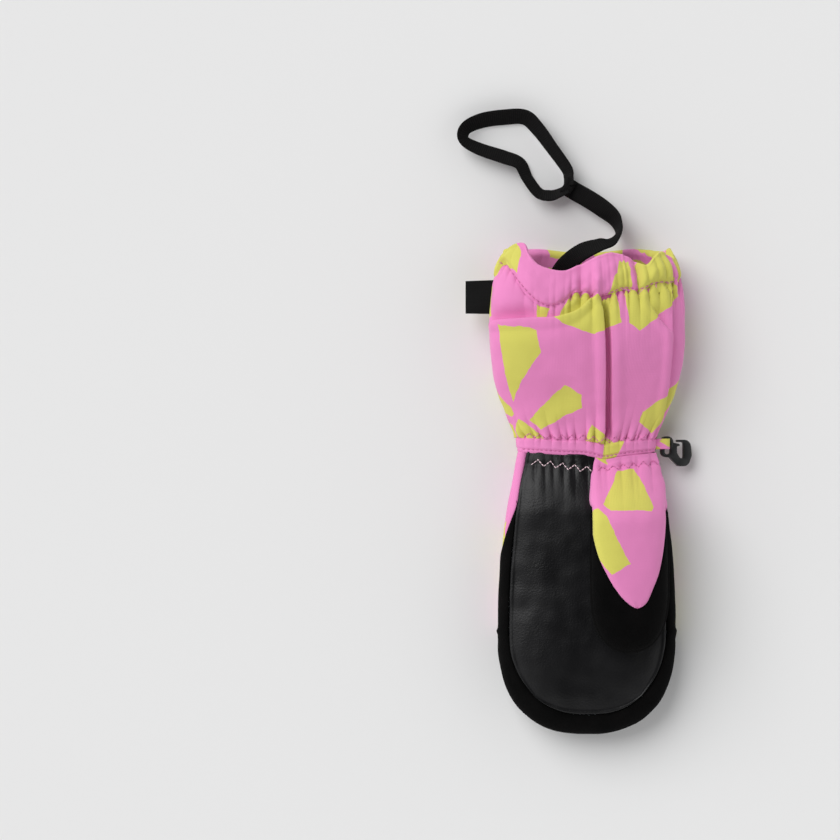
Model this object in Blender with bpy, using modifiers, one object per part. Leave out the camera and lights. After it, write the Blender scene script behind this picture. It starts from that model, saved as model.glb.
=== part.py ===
"""Child's padded ski mitten for the left hand, lying on its back with the palm up.

Metres, +Z up, fingers towards -Y and thumb towards +X. The origin is on the resting
plane, under the middle of the hand's length.
"""
import math

import bmesh
import bpy
from mathutils import Matrix, Vector

# Hand
HAND_LENGTH = 0.159
HAND_WIDTH = 0.101
HAND_HEIGHT = 0.032
TIP_LENGTH = 0.057
WRIST_WIDTH = 0.0775
WRIST_HEIGHT = 0.023
WRIST_LIFT = 0.0008
WRIST_EASE = 0.034
FILL_EASE = 0.040
SAG = 0.002

# Cuff
CUFF_LENGTH = 0.1175
CUFF_WIDTH = 0.1115
CUFF_HEIGHT = 0.044
MOUTH_WIDTH = 0.084
MOUTH_HEIGHT = 0.030
MOUTH_DIP = 0.026
BELLY_AT = 0.62
BAND_HEIGHT = 0.0085
HEM_HEIGHT = 0.018
HEM_DEPTH = 0.004

# Thumb
THUMB_LENGTH = 0.110
THUMB_WIDTH = 0.0436
THUMB_TIP = 0.036
THUMB_ROOT_WIDTH = 0.039
THUMB_UP = 0.0130
THUMB_DOWN = 0.0068
THUMB_TILT = 0.0045
THUMB_SEAT = 0.0064
THUMB_RISE = 0.038
THUMB_OUT = 0.00355
SKIRT_EASE = 0.008

# Layers, from the outside in
SHELL = 0.001
MEMBRANE = 0.0005
WADDING = 0.0058
THUMB_WADDING = 0.0012
LINING = 0.0011
THUMB_LINING = 0.0008
CLOTH = 0.0008
ELASTIC = 0.0012
LOOSE = 0.0011
THUMB_LOOSE = 0.0021
GAP = 0.00035

# Gathers
WRIST_GATHERS = 21
WRIST_GATHER = 0.0016
WRIST_GATHER_REACH = 0.016
HEM_GATHERS = 17
HEM_GATHER = 0.0028
HEM_GATHER_REACH = 0.022

# Trim
LABEL_LENGTH = 0.0127
LABEL_WIDTH = 0.0185
LABEL_AT = 0.77
LABEL_DROOP = 0.004
TAB_LENGTH = 0.0084
TAB_WIDTH = 0.0063
TAB_CLOTH = 0.0007
TAB_SLACK = 0.0017
HOOK_THICKNESS = 0.0026
HOOK_BAR = 0.002
HOOK_PLAY = 0.0003
HOOK_DROOP = math.radians(20)
STRAP_WIDTH = 0.0105
STRAP_THICKNESS = 0.0013
BARTACK = (0.0062, 0.0092, 0.0044)
ANCHOR = (0.0125, 0.010, 0.0012)

# Mesh
SIDE_STEPS = 7
RISE_STEPS = 5
BACK_STEPS = 6
THUMB_SIDE_STEPS = 6
THUMB_RISE_STEPS = 4
THUMB_TOP_STEPS = 7
THUMB_UNDER_STEPS = 8
RING_STEPS = 68
BAND_STEPS = 34
CUFF_STEPS = 7
HEM_STEPS = 6
LINING_STEPS = 5
HOLE_STEPS = 2
THUMB_OPEN_STEPS = 3
TIP_SHARE = 0.5
PROFILE = 2.4
TIP_SQUARE = 2.45
SIDE_SWELL = 2.4
WELD = 1e-6

# Seams, as angles of the cross-section above or below its widest line
PALM_SEAM = math.radians(30)
PALM_SEAM_TIP = math.radians(40)
BACK_SEAM = math.radians(-8)
BACK_SEAM_THUMB = math.radians(-3)
THUMB_SEAM = math.radians(8)
THUMB_SEAM_TIP = math.radians(74)
SEAM_WIDTH = math.radians(1.2)
QUARTER = math.pi / 2

# Places worked out from the sizes
WRIST_Y = HAND_LENGTH / 2
TIP_Y = -HAND_LENGTH / 2
WIDEST_Y = TIP_Y + TIP_LENGTH
MOUTH_Y = WRIST_Y + CUFF_LENGTH
BELLY_Y = WRIST_Y + CUFF_LENGTH * BELLY_AT
THUMB_ROOT_Y = WRIST_Y - GAP
THUMB_X = (WRIST_WIDTH - THUMB_ROOT_WIDTH) / 2 + THUMB_OUT
HOLE_SHARE = 1 - HOLE_STEPS / SIDE_STEPS
CROTCH_Y = WIDEST_Y + HOLE_SHARE * (WRIST_Y - WIDEST_Y)
TAB_Y = WRIST_Y + BAND_HEIGHT * 0.55

# Leash route: sewn inside the cuff, out over the far hem, then a standing loop
STRAP_ROUTE = [
    (-0.0225, 0.1560, 0.0060),
    (-0.0190, 0.1720, 0.0068),
    (-0.0140, 0.1855, 0.0130),
    (-0.0040, 0.1945, 0.0205),
    (0.0065, 0.1990, 0.0225),
    (0.0140, 0.2020, 0.0190),
    (0.0185, 0.2080, 0.0130),
    (0.0165, 0.2150, 0.0085),
    (0.0090, 0.2215, 0.0062),
    (0.0015, 0.2265, 0.0052),
    (-0.0065, 0.2311, 0.0048),
]
STRAP_LEAN = [
    (0.9, -0.3, 0.0),
    (0.9, -0.3, 0.0),
    (0.75, -0.6, 0.1),
    (0.45, -0.8, 0.3),
    (0.1, -0.7, 0.7),
    (0.0, -0.4, 0.9),
    (0.2, 0.1, 0.95),
    (0.5, 0.4, 0.7),
    (0.6, 0.7, 0.3),
    (0.55, 0.8, 0.15),
    (0.5, 0.85, 0.1),
]
LOOP_ROUTE = [
    (-0.0131, 0.2380, 0.0050),
    (-0.0112, 0.2440, 0.0048),
    (-0.0195, 0.2560, 0.0046),
    (-0.0275, 0.2668, 0.0046),
    (-0.0350, 0.2735, 0.0046),
    (-0.0470, 0.2735, 0.0046),
    (-0.0600, 0.2715, 0.0046),
    (-0.0690, 0.2670, 0.0046),
    (-0.0700, 0.2605, 0.0046),
    (-0.0615, 0.2555, 0.0046),
    (-0.0475, 0.2508, 0.0046),
    (-0.0380, 0.2470, 0.0046),
    (-0.0335, 0.2385, 0.0046),
    (-0.0270, 0.2300, 0.0046),
    (-0.0205, 0.2285, 0.0047),
    (-0.0158, 0.2325, 0.0050),
]
LOOP_LEAN = (-0.1, 0.6, 0.79)
BARTACK_AT = (-0.0100, 0.2333, 0.0050)
BARTACK_TURN = math.radians(-32)
STRAP_STEPS = 3

# Clip outline in plan, from the bar that the tab holds: x, y, corner radius
CLIP_OUTLINE = [
    (-0.0010, -0.0060, 0.0032),
    (0.0043, -0.0060, 0.0010),
    (0.0096, -0.0112, 0.0022),
    (0.0158, -0.0112, 0.0040),
    (0.0180, -0.0050, 0.0030),
    (0.0172, 0.0040, 0.0042),
    (0.0090, 0.0040, 0.0005),
    (0.0090, 0.0027, 0.0005),
    (0.0131, 0.0027, 0.0012),
    (0.0131, -0.0066, 0.0008),
    (0.0108, -0.0066, 0.0008),
    (0.0087, -0.0036, 0.0008),
    (0.0087, 0.0002, 0.0004),
    (0.0106, 0.0006, 0.0004),
    (0.0102, 0.0016, 0.0004),
    (0.0064, 0.0023, 0.0006),
    (0.0064, 0.0060, 0.0034),
    (-0.0010, 0.0060, 0.0032),
]
EYE_OUTLINE = [
    (0.0010, -0.0043, 0.0012),
    (0.0049, -0.0043, 0.0014),
    (0.0049, 0.0043, 0.0014),
    (0.0010, 0.0043, 0.0012),
]
CORNER_STEPS = 4

COLOURS = {
    "print": (0.72, 0.26, 0.48, 1),
    "leather": (0.012, 0.012, 0.013, 1),
    "suede": (0.020, 0.019, 0.019, 1),
    "wadding": (0.75, 0.74, 0.70, 1),
    "membrane": (0.60, 0.65, 0.68, 1),
    "fleece": (0.045, 0.045, 0.050, 1),
    "tricot": (0.50, 0.14, 0.32, 1),
    "elastic": (0.65, 0.64, 0.62, 1),
    "webbing": (0.010, 0.010, 0.011, 1),
    "plastic": (0.008, 0.008, 0.008, 1),
}


def smooth(t):
    t = min(max(t, 0.0), 1.0)
    return t * t * (3 - 2 * t)


def blend(a, b, t):
    return a + (b - a) * t


def power(value, exponent):
    return math.copysign(abs(value) ** exponent, value)


class Section:
    """Half-heights of a cross-section above and below its widest line."""

    def __init__(self, middle, up, down):
        self.middle = middle
        self.up = up
        self.down = down

    def toward(self, other, t):
        return Section(
            blend(self.middle, other.middle, t),
            blend(self.up, other.up, t),
            blend(self.down, other.down, t),
        )


WRIST_MIDDLE = WRIST_LIFT + WRIST_HEIGHT * 0.46
WRIST = Section(WRIST_MIDDLE, WRIST_LIFT + WRIST_HEIGHT - WRIST_MIDDLE, WRIST_MIDDLE - WRIST_LIFT)
HAND_MIDDLE = HAND_HEIGHT * 0.47
HAND = Section(HAND_MIDDLE, HAND_HEIGHT - HAND_MIDDLE, HAND_MIDDLE + SAG)
CUFF_MIDDLE = CUFF_HEIGHT * 0.48
CUFF = Section(CUFF_MIDDLE, CUFF_HEIGHT - CUFF_MIDDLE, CUFF_MIDDLE + SAG)
MOUTH_MIDDLE = MOUTH_HEIGHT * 0.5
MOUTH = Section(MOUTH_MIDDLE, MOUTH_HEIGHT - MOUTH_MIDDLE, MOUTH_MIDDLE)


class Pocket:
    """A padded pocket: open at its root, round in plan at its tip.

    A point is given by s, along the widest line from the left root (-1) round the tip (0)
    to the right root (1), by an angle up from that line, and by a depth under the surface.
    """

    def __init__(self, root_y, widest_y, tip_y, root_width, width, centre_x, section, fill, skirt):
        self.root_y = root_y
        self.widest_y = widest_y
        self.tip_y = tip_y
        self.root_half = root_width / 2
        self.half = width / 2
        self.centre_x = centre_x
        self.section = section
        self.fill = fill
        self.skirt = skirt

    def side_y(self, share):
        return blend(self.widest_y, self.root_y, share)

    def half_width(self, y):
        share = (y - self.widest_y) / (self.root_y - self.widest_y)
        return blend(self.half, self.root_half, max(share, 0.0) ** SIDE_SWELL)

    def point(self, s, angle, depth):
        reach = abs(s)
        if reach >= TIP_SHARE:
            spine_y = self.side_y((reach - TIP_SHARE) / (1 - TIP_SHARE))
            inset = depth[0] + depth[1] * self.fill(spine_y)
            edge = (self.half_width(spine_y) - inset, 0.0)
        else:
            turn = reach / TIP_SHARE * QUARTER
            spine_y = self.widest_y
            inset = depth[0] + depth[1] * self.fill(spine_y)
            length = self.widest_y - self.tip_y - inset
            edge = (
                (self.half - inset) * math.sin(turn) ** (2 / TIP_SQUARE),
                -length * abs(math.cos(turn)) ** (2 / TIP_SQUARE),
            )
        out = abs(math.cos(angle)) ** (2 / PROFILE)
        lift = power(math.sin(angle), 2 / PROFILE)
        x = math.copysign(edge[0], s) * out
        section, tilt = self.section(spine_y)
        height = section.up if lift > 0 else section.down
        z = section.middle - tilt * x / self.half + lift * (height - inset)
        place = Vector((self.centre_x + x, spine_y + edge[1] * out, max(z, inset)))
        if self.skirt is None or angle > 0:
            return place
        rim, share = self.skirt(s, spine_y)
        wall_x = math.copysign(edge[0], s)
        top = section.middle - tilt * wall_x / self.half
        wall = Vector((self.centre_x + wall_x, spine_y, blend(top, rim, -angle / QUARTER)))
        return place.lerp(wall, share)


class Sleeve:
    """The cuff: a tube from the wrist to a slanting mouth, flat where it lies on the floor."""

    def end_y(self, turn):
        front = max(math.sin(turn), 0.0) ** 1.3
        return MOUTH_Y - MOUTH_DIP * front

    def half_width(self, y):
        if y < BELLY_Y:
            rise = 1 - (1 - max(y - WRIST_Y - BAND_HEIGHT, 0.0) / (BELLY_Y - WRIST_Y - BAND_HEIGHT)) ** 2.2
            return blend(WRIST_WIDTH, CUFF_WIDTH, rise) / 2
        fall = ((y - BELLY_Y) / (MOUTH_Y - BELLY_Y)) ** 3
        return blend(CUFF_WIDTH, MOUTH_WIDTH, fall) / 2

    def section(self, y):
        if y < BELLY_Y:
            return WRIST.toward(CUFF, smooth((y - WRIST_Y - BAND_HEIGHT) / (BELLY_Y - WRIST_Y - BAND_HEIGHT)))
        return CUFF.toward(MOUTH, ((y - BELLY_Y) / (MOUTH_Y - BELLY_Y)) ** 2)

    def point(self, turn, y, inset, swell=0.0):
        section = self.section(y)
        height = section.up if math.sin(turn) > 0 else section.down
        x = power(math.cos(turn), 2 / PROFILE) * (self.half_width(y) - inset + swell)
        z = section.middle + power(math.sin(turn), 2 / PROFILE) * (height - inset + swell)
        return Vector((x, y, max(z, inset)))


def gather(turn, count):
    """Unequal gathers round the sleeve, from 0 in a valley to 1 on a crest."""
    return 0.5 + 0.5 * math.cos(count * turn + 1.1 * math.sin(2 * turn + 0.7))


def hand_section(y):
    t = smooth((WRIST_Y - y) / WRIST_EASE)
    return WRIST.toward(HAND, t), 0.0


def hand_fill(y):
    return blend(0.16, 1.0, smooth((WRIST_Y - y) / FILL_EASE))


def thumb_section(y):
    t = smooth((THUMB_ROOT_Y - y) / THUMB_RISE)
    root_middle = WRIST.middle + WRIST.up * 0.42
    rest_middle = HAND_HEIGHT + THUMB_SEAT
    up = blend(WRIST.up * 0.42, THUMB_UP, t)
    return Section(blend(root_middle, rest_middle, t), up, THUMB_DOWN), THUMB_TILT


def thumb_fill(y):
    return blend(0.3, 1.0, smooth((THUMB_ROOT_Y - y) / THUMB_RISE))


def thumb_skirt(s, y):
    """Near its root the thumb's sides come straight down to the edges of the hand's opening."""
    section, tilt = hand_section(y)
    rim = section.middle + SHELL if s > 0 else section.middle + section.up
    return rim, smooth((y - CROTCH_Y) / SKIRT_EASE)


hand = Pocket(
    WRIST_Y, WIDEST_Y, TIP_Y, WRIST_WIDTH, HAND_WIDTH, 0.0, hand_section, hand_fill, None
)
thumb = Pocket(
    THUMB_ROOT_Y,
    THUMB_ROOT_Y - THUMB_LENGTH + THUMB_TIP,
    THUMB_ROOT_Y - THUMB_LENGTH,
    THUMB_ROOT_WIDTH,
    THUMB_WIDTH,
    THUMB_X,
    thumb_section,
    thumb_fill,
    thumb_skirt,
)
sleeve = Sleeve()

# Depths under the surface: a fixed part and a share that thins with the wadding
OUTSIDE = (0.0, 0.0)
SHELL_IN = (SHELL, 0.0)
MEMBRANE_OUT = (SHELL + LOOSE, 0.0)
MEMBRANE_IN = (SHELL + LOOSE + MEMBRANE, 0.0)
WADDING_OUT = (SHELL + LOOSE + MEMBRANE + GAP, 0.0)
WADDING_IN = (WADDING_OUT[0], WADDING)
LINING_OUT = (WADDING_OUT[0] + GAP, WADDING)
LINING_IN = (LINING_OUT[0] + LINING, WADDING)
THUMB_WADDING_OUT = (SHELL + THUMB_LOOSE, 0.0)
THUMB_WADDING_IN = (SHELL + THUMB_LOOSE, THUMB_WADDING)
THUMB_LINING_OUT = (SHELL + THUMB_LOOSE + GAP, THUMB_WADDING)
THUMB_LINING_IN = (SHELL + THUMB_LOOSE + GAP + THUMB_LINING, THUMB_WADDING)


def start_scene():
    for old in list(bpy.data.objects):
        bpy.data.objects.remove(old, do_unlink=True)
    parts = bpy.data.collections.new("ski_mitten")
    bpy.context.scene.collection.children.link(parts)
    return parts


def material(kind, name):
    made = bpy.data.materials.new(name)
    made.use_nodes = True
    made.diffuse_color = COLOURS[kind]
    shader = made.node_tree.nodes["Principled BSDF"]
    shader.inputs["Base Color"].default_value = COLOURS[kind]
    shader.inputs["Roughness"].default_value = 0.35 if kind in ("leather", "plastic") else 0.85
    return made


def add_part(name, data, kind, pivot=None):
    made = bpy.data.objects.new(name, data)
    data.materials.append(material(kind, name))
    parts.objects.link(made)
    if pivot is not None:
        made.parent = pivot
        made.matrix_parent_inverse = Matrix.Translation(pivot.location).inverted()
    return made


def add_pivot(name, place):
    made = bpy.data.objects.new(name, None)
    made.location = place
    parts.objects.link(made)
    return made


def cloth(name, kind, steps, place, outer, inner, keep=None, pivot=None):
    """A grid laid on a surface by place(u, v, depth), thickened from one depth to another."""
    mesh = bmesh.new()
    bmesh.ops.create_grid(mesh, x_segments=steps[0], y_segments=steps[1], size=0.5)
    across = mesh.verts.layers.float.new("across")
    along = mesh.verts.layers.float.new("along")
    for vert in mesh.verts:
        vert[across] = vert.co.x + 0.5
        vert[along] = vert.co.y + 0.5
    if keep is not None:
        cut = []
        for face in mesh.faces:
            middle = face.calc_center_median()
            if not keep(middle.x + 0.5, middle.y + 0.5):
                cut.append(face)
        bmesh.ops.delete(mesh, geom=cut, context="FACES")
    for vert in mesh.verts:
        vert.co = place(vert[across], vert[along], outer)
    bmesh.ops.remove_doubles(mesh, verts=mesh.verts[:], dist=WELD)
    grown = bmesh.ops.extrude_face_region(mesh, geom=mesh.faces[:], use_keep_orig=True)
    for item in grown["geom"]:
        if isinstance(item, bmesh.types.BMVert):
            item.co = place(item[across], item[along], inner)
    bmesh.ops.recalc_face_normals(mesh, faces=mesh.faces[:])
    data = bpy.data.meshes.new(name)
    mesh.to_mesh(data)
    mesh.free()
    return add_part(name, data, kind, pivot)


def side_share(s):
    """How far up the straight side s is: 0 at the widest line and on the tip, 1 at the root."""
    return max((abs(s) - TIP_SHARE) / (1 - TIP_SHARE), 0.0)


def tip_share(s):
    return smooth(1 - abs(s) / TIP_SHARE)


def palm_seam(s):
    return blend(PALM_SEAM, PALM_SEAM_TIP, tip_share(s))


def back_seam(s):
    """The back's edge: it climbs to the palm near the wrist and stays low under the thumb."""
    if s > 0:
        return blend(BACK_SEAM, BACK_SEAM_THUMB, smooth((side_share(s) - HOLE_SHARE) * 4))
    return blend(BACK_SEAM, palm_seam(s), smooth((side_share(s) - 0.38) / 0.34))


def wraps(form, low, high):
    """Place a sheet over a pocket, from the left root round the tip to the right root."""

    def place(u, v, depth):
        s = 2 * u - 1
        return form.point(s, blend(low(s), high(s), v), depth)

    return place


def clear_of_thumb(u, v):
    return 2 * u - 1 < 0 or side_share(2 * u - 1) < HOLE_SHARE


def constant(value):
    return lambda s: value


def make_hand():
    wrap = 4 * SIDE_STEPS
    top = constant(QUARTER)
    bottom = constant(-QUARTER)

    def palm_low(s):
        return palm_seam(s) + SEAM_WIDTH

    cloth("palm_panel", "leather", (wrap, RISE_STEPS), wraps(hand, palm_low, top),
          OUTSIDE, SHELL_IN, clear_of_thumb)

    def gusset(u, v, depth):
        start = -blend(TIP_SHARE, 1.0, 0.66)
        end = blend(TIP_SHARE, 1.0, HOLE_SHARE)
        s = blend(start, end, u)
        return hand.point(s, blend(back_seam(s), palm_seam(s) - SEAM_WIDTH, v), depth)

    cloth("side_gusset", "suede", (26, 3), gusset, OUTSIDE, SHELL_IN)

    def back(u, v, depth):
        side = -1 if u < 0.5 else 1
        s = side * blend(TIP_SHARE + 0.003, 1.0, v)
        return hand.point(s, blend(-QUARTER, back_seam(s) - SEAM_WIDTH, abs(2 * u - 1)), depth)

    cloth("back_panel", "print", (2 * BACK_STEPS, 2 * SIDE_STEPS), back, OUTSIDE, SHELL_IN)

    def cap(u, v, depth):
        s = blend(-TIP_SHARE, TIP_SHARE, u)
        return hand.point(s, blend(-QUARTER, back_seam(s) - SEAM_WIDTH, v), depth)

    cloth("fingertip_cap", "suede", (2 * SIDE_STEPS, RISE_STEPS), cap, OUTSIDE, SHELL_IN)

    whole = wraps(hand, bottom, top)

    def open_bag(u, v):
        return v < 0.5 or clear_of_thumb(u, v)

    cloth("membrane_insert", "membrane", (wrap, 2 * RISE_STEPS), whole,
          MEMBRANE_OUT, MEMBRANE_IN, open_bag)
    cloth("hand_lining", "fleece", (wrap, 2 * RISE_STEPS), whole,
          LINING_OUT, LINING_IN, open_bag)
    cloth("palm_wadding", "wadding", (wrap, RISE_STEPS), wraps(hand, constant(SEAM_WIDTH), top),
          WADDING_OUT, WADDING_IN, clear_of_thumb)
    cloth("back_wadding", "wadding", (wrap, RISE_STEPS), wraps(hand, bottom, constant(-SEAM_WIDTH)),
          WADDING_OUT, WADDING_IN)


def thumb_seam(s):
    """The print's edge: low along the sides, then over the top well short of the tip."""
    start, length = (0.70, 0.35) if s > 0 else (0.85, 0.45)
    return blend(THUMB_SEAM, THUMB_SEAM_TIP, smooth((start - abs(s)) / length))


def make_thumb():
    wrap = 4 * THUMB_SIDE_STEPS
    pivot = add_pivot("thumb_pivot", (THUMB_X, THUMB_ROOT_Y, WRIST.middle + WRIST.up))
    open_share = 1 - THUMB_OPEN_STEPS / THUMB_SIDE_STEPS

    def print_low(s):
        share = thumb_skirt(s, thumb.side_y(side_share(s)))[1]
        return blend(thumb_seam(s), -QUARTER, share) + SEAM_WIDTH

    def under_high(s):
        return thumb_seam(s) - SEAM_WIDTH

    def closed(u, v):
        return side_share(2 * u - 1) < open_share

    def closed_below(u, v):
        return v > 0.5 or closed(u, v)

    cloth("thumb_top", "print", (wrap, THUMB_TOP_STEPS), wraps(thumb, print_low, constant(QUARTER)),
          OUTSIDE, SHELL_IN, None, pivot)
    cloth("thumb_under", "suede", (wrap, THUMB_UNDER_STEPS), wraps(thumb, constant(-QUARTER), under_high),
          OUTSIDE, SHELL_IN, closed, pivot)
    whole = wraps(thumb, constant(-QUARTER), constant(QUARTER))
    cloth("thumb_wadding", "wadding", (wrap, 2 * THUMB_RISE_STEPS), whole,
          THUMB_WADDING_OUT, THUMB_WADDING_IN, closed_below, pivot)
    cloth("thumb_lining", "fleece", (wrap, 2 * THUMB_RISE_STEPS), whole,
          THUMB_LINING_OUT, THUMB_LINING_IN, closed_below, pivot)


def cuff_swell(turn, y):
    """How far the gathers lift the cuff's cloth, most beside the wrist and the hem."""
    from_wrist = math.exp(-max(y - WRIST_Y - BAND_HEIGHT, 0.0) / WRIST_GATHER_REACH)
    from_hem = math.exp(-max(sleeve.end_y(turn) - HEM_HEIGHT - y, 0.0) / HEM_GATHER_REACH)
    return (
        WRIST_GATHER * from_wrist * gather(turn, WRIST_GATHERS)
        + HEM_GATHER * from_hem * gather(turn, HEM_GATHERS)
    )


def make_cuff():
    start = WRIST_Y + BAND_HEIGHT

    def ring(low, high, swell):
        def place(u, v, depth):
            turn = u * 2 * math.pi
            y = blend(low(turn), high(turn), v)
            return sleeve.point(turn, y, depth, swell(turn, y))

        return place

    def smooth_wall(turn, y):
        return 0.0

    def hem_foot(turn):
        return sleeve.end_y(turn) - HEM_HEIGHT - GAP

    cloth("wrist_band", "print", (RING_STEPS, 1),
          ring(constant(WRIST_Y + GAP), constant(start - GAP), cuff_swell), 0.0, SHELL)
    cloth("cuff_shell", "print", (RING_STEPS, CUFF_STEPS),
          ring(constant(start), hem_foot, cuff_swell), 0.0, SHELL)
    elastic_out = SHELL + LOOSE
    cloth("wrist_elastic", "elastic", (BAND_STEPS, 1),
          ring(constant(WRIST_Y + GAP), constant(start - GAP), smooth_wall),
          elastic_out, elastic_out + ELASTIC)
    lining_out = elastic_out + ELASTIC + GAP
    lining_band = 1 / LINING_STEPS

    def lining(u, v, depth):
        turn = u * 2 * math.pi
        y = blend(start, hem_foot(turn), (v - lining_band) / (1 - lining_band))
        if v < lining_band:
            y = blend(WRIST_Y + GAP, start, v / lining_band)
        return sleeve.point(turn, y, depth)

    cloth("cuff_lining", "tricot", (BAND_STEPS, LINING_STEPS), lining,
          lining_out, lining_out + CLOTH)

    def hem(u, v, wall):
        turn = u * 2 * math.pi
        radius = HEM_DEPTH / 2 - wall
        leg = 1 / HEM_STEPS
        if v < leg:
            puff = 1.0
            rise = blend(-HEM_HEIGHT, -HEM_DEPTH / 2, v / leg)
        elif v > 1 - leg:
            puff = -1.0
            rise = blend(-HEM_HEIGHT, -HEM_DEPTH / 2, (1 - v) / leg)
        else:
            bend = math.pi * (v - leg) / (1 - 2 * leg)
            puff = math.cos(bend)
            rise = -HEM_DEPTH / 2 + radius * math.sin(bend)
        inset = HEM_DEPTH / 2 - radius * puff
        swell = puff * HEM_GATHER * gather(turn, HEM_GATHERS)
        return sleeve.point(turn, sleeve.end_y(turn) + rise, inset, swell)

    cloth("hem_casing", "print", (RING_STEPS, HEM_STEPS), hem, 0.0, CLOTH)

    def elastic_low(turn):
        return sleeve.end_y(turn) - HEM_HEIGHT

    def elastic_high(turn):
        return sleeve.end_y(turn) - HEM_DEPTH / 2 - GAP

    middle = (HEM_DEPTH - ELASTIC) / 2
    cloth("hem_elastic", "elastic", (BAND_STEPS, 1),
          ring(elastic_low, elastic_high, smooth_wall), middle, middle + ELASTIC)


def make_label():
    middle_y = blend(WRIST_Y, MOUTH_Y, LABEL_AT)
    z = sleeve.section(middle_y).middle

    def place(u, v, depth):
        y = middle_y + (v - 0.5) * LABEL_WIDTH
        seam = sleeve.half_width(y) + cuff_swell(math.pi, y) + 2 * GAP
        return Vector((-seam - u * LABEL_LENGTH, y, z - LABEL_DROOP * u * u + depth))

    cloth("side_label", "webbing", (4, 3), place, 0.0, CLOTH)


def rounded(corners):
    """The corners of an outline with each one turned into an arc."""
    outline = []
    count = len(corners)
    for index in range(count):
        here = Vector(corners[index][:2])
        radius = corners[index][2]
        before = (Vector(corners[index - 1][:2]) - here).normalized()
        after = (Vector(corners[(index + 1) % count][:2]) - here).normalized()
        half = before.angle(after) / 2
        reach = radius / math.tan(half)
        centre = here + (before + after).normalized() * radius / math.sin(half)
        first = here + before * reach - centre
        last = here + after * reach - centre
        swing = first.angle_signed(last)
        for step in range(CORNER_STEPS + 1):
            outline.append(centre + Matrix.Rotation(-swing * step / CORNER_STEPS, 2) @ first)
    return outline


def tab_start():
    return WRIST_WIDTH / 2 + 2 * GAP


def hook_axis():
    """The middle of the bar that the tab holds."""
    bore = math.hypot(HOOK_BAR, HOOK_THICKNESS) / 2 + HOOK_PLAY
    x = tab_start() + TAB_LENGTH - TAB_CLOTH - bore - TAB_SLACK
    return Vector((x, TAB_Y, WRIST.middle)), bore


def make_clip():
    axis, bore = hook_axis()
    start = tab_start()
    outer = bore + TAB_CLOTH
    fold = start + TAB_LENGTH - outer

    def tab(u, v, wall):
        radius = outer - wall
        leg = 0.32
        if u < leg:
            x, z = blend(start, fold, u / leg), radius
        elif u > 1 - leg:
            x, z = blend(start, fold, (1 - u) / leg), -radius
        else:
            bend = math.pi * (u - leg) / (1 - 2 * leg)
            x, z = fold + radius * math.sin(bend), radius * math.cos(bend)
        return Vector((x, TAB_Y + (v - 0.5) * TAB_WIDTH, axis.z + z))

    cloth("clip_tab", "print", (14, 1), tab, 0.0, TAB_CLOTH)

    pivot = add_pivot("hook_pivot", axis)
    curve = bpy.data.curves.new("clip_hook", "CURVE")
    curve.dimensions = "2D"
    curve.fill_mode = "BOTH"
    curve.extrude = HOOK_THICKNESS / 2
    for corners in (CLIP_OUTLINE, EYE_OUTLINE):
        outline = rounded(corners)
        spline = curve.splines.new("POLY")
        spline.points.add(len(outline) - 1)
        for point, place in zip(spline.points, outline):
            point.co = (place.x, place.y, 0.0, 1.0)
        spline.use_cyclic_u = True
    hook = add_part("clip_hook", curve, "plastic")
    hook.parent = pivot
    hook.rotation_euler = (0.0, HOOK_DROOP, 0.0)
    weld = hook.modifiers.new("weld", "WELD")
    weld.merge_threshold = 1e-5


def spline_point(values, t):
    """A point on the smooth curve through a list of values, t from 0 to 1."""
    last = len(values) - 1
    place = min(max(t, 0.0), 1.0) * last
    index = min(int(place), last - 1)
    f = place - index
    a = Vector(values[max(index - 1, 0)])
    b = Vector(values[index])
    c = Vector(values[index + 1])
    d = Vector(values[min(index + 2, last)])
    return 0.5 * (2 * b + (c - a) * f + (2 * a - 5 * b + 4 * c - d) * f * f
                  + (3 * b - a - 3 * c + d) * f ** 3)


def ribbon(name, route, leans):
    """Flat webbing along a route, its width turned along the leans."""
    step = 1e-3

    def place(u, v, side):
        here = spline_point(route, u)
        ahead = spline_point(route, min(u + step, 1.0)) - spline_point(route, max(u - step, 0.0))
        lean = spline_point(leans, u)
        lean = (lean - ahead * lean.dot(ahead) / ahead.length_squared).normalized()
        face = ahead.cross(lean).normalized()
        edge = (abs(lean.z) * STRAP_WIDTH + abs(face.z) * STRAP_THICKNESS) / 2
        here.z = max(here.z, edge + GAP)
        return here + lean * (v - 0.5) * STRAP_WIDTH + face * side

    steps = (STRAP_STEPS * (len(route) - 1), 1)
    cloth(name, "webbing", steps, place, -STRAP_THICKNESS / 2, STRAP_THICKNESS / 2)


def block(name, kind, size, place, turn):
    mesh = bmesh.new()
    bmesh.ops.create_cube(mesh, size=1.0)
    bmesh.ops.scale(mesh, vec=size, verts=mesh.verts[:])
    bmesh.ops.rotate(mesh, matrix=Matrix.Rotation(turn, 3, "Z"), verts=mesh.verts[:])
    bmesh.ops.translate(mesh, vec=place, verts=mesh.verts[:])
    data = bpy.data.meshes.new(name)
    mesh.to_mesh(data)
    mesh.free()
    made = add_part(name, data, kind)
    bevel = made.modifiers.new("edge", "BEVEL")
    bevel.width = min(size) * 0.25
    bevel.segments = 2


def make_leash():
    ribbon("leash_strap", STRAP_ROUTE, STRAP_LEAN)
    ribbon("leash_loop", LOOP_ROUTE, [LOOP_LEAN] * len(LOOP_ROUTE))
    block("leash_bartack", "webbing", BARTACK, BARTACK_AT, BARTACK_TURN)
    first = Vector(STRAP_ROUTE[0])
    heading = (Vector(STRAP_ROUTE[1]) - first).normalized()
    anchor = first - heading * (ANCHOR[1] / 2 + GAP)
    anchor.z = first.z
    block("leash_anchor", "webbing", ANCHOR, anchor, -math.atan2(heading.x, heading.y))


parts = start_scene()
make_hand()
make_thumb()
make_cuff()
make_label()
make_clip()
make_leash()
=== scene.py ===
import math

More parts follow.
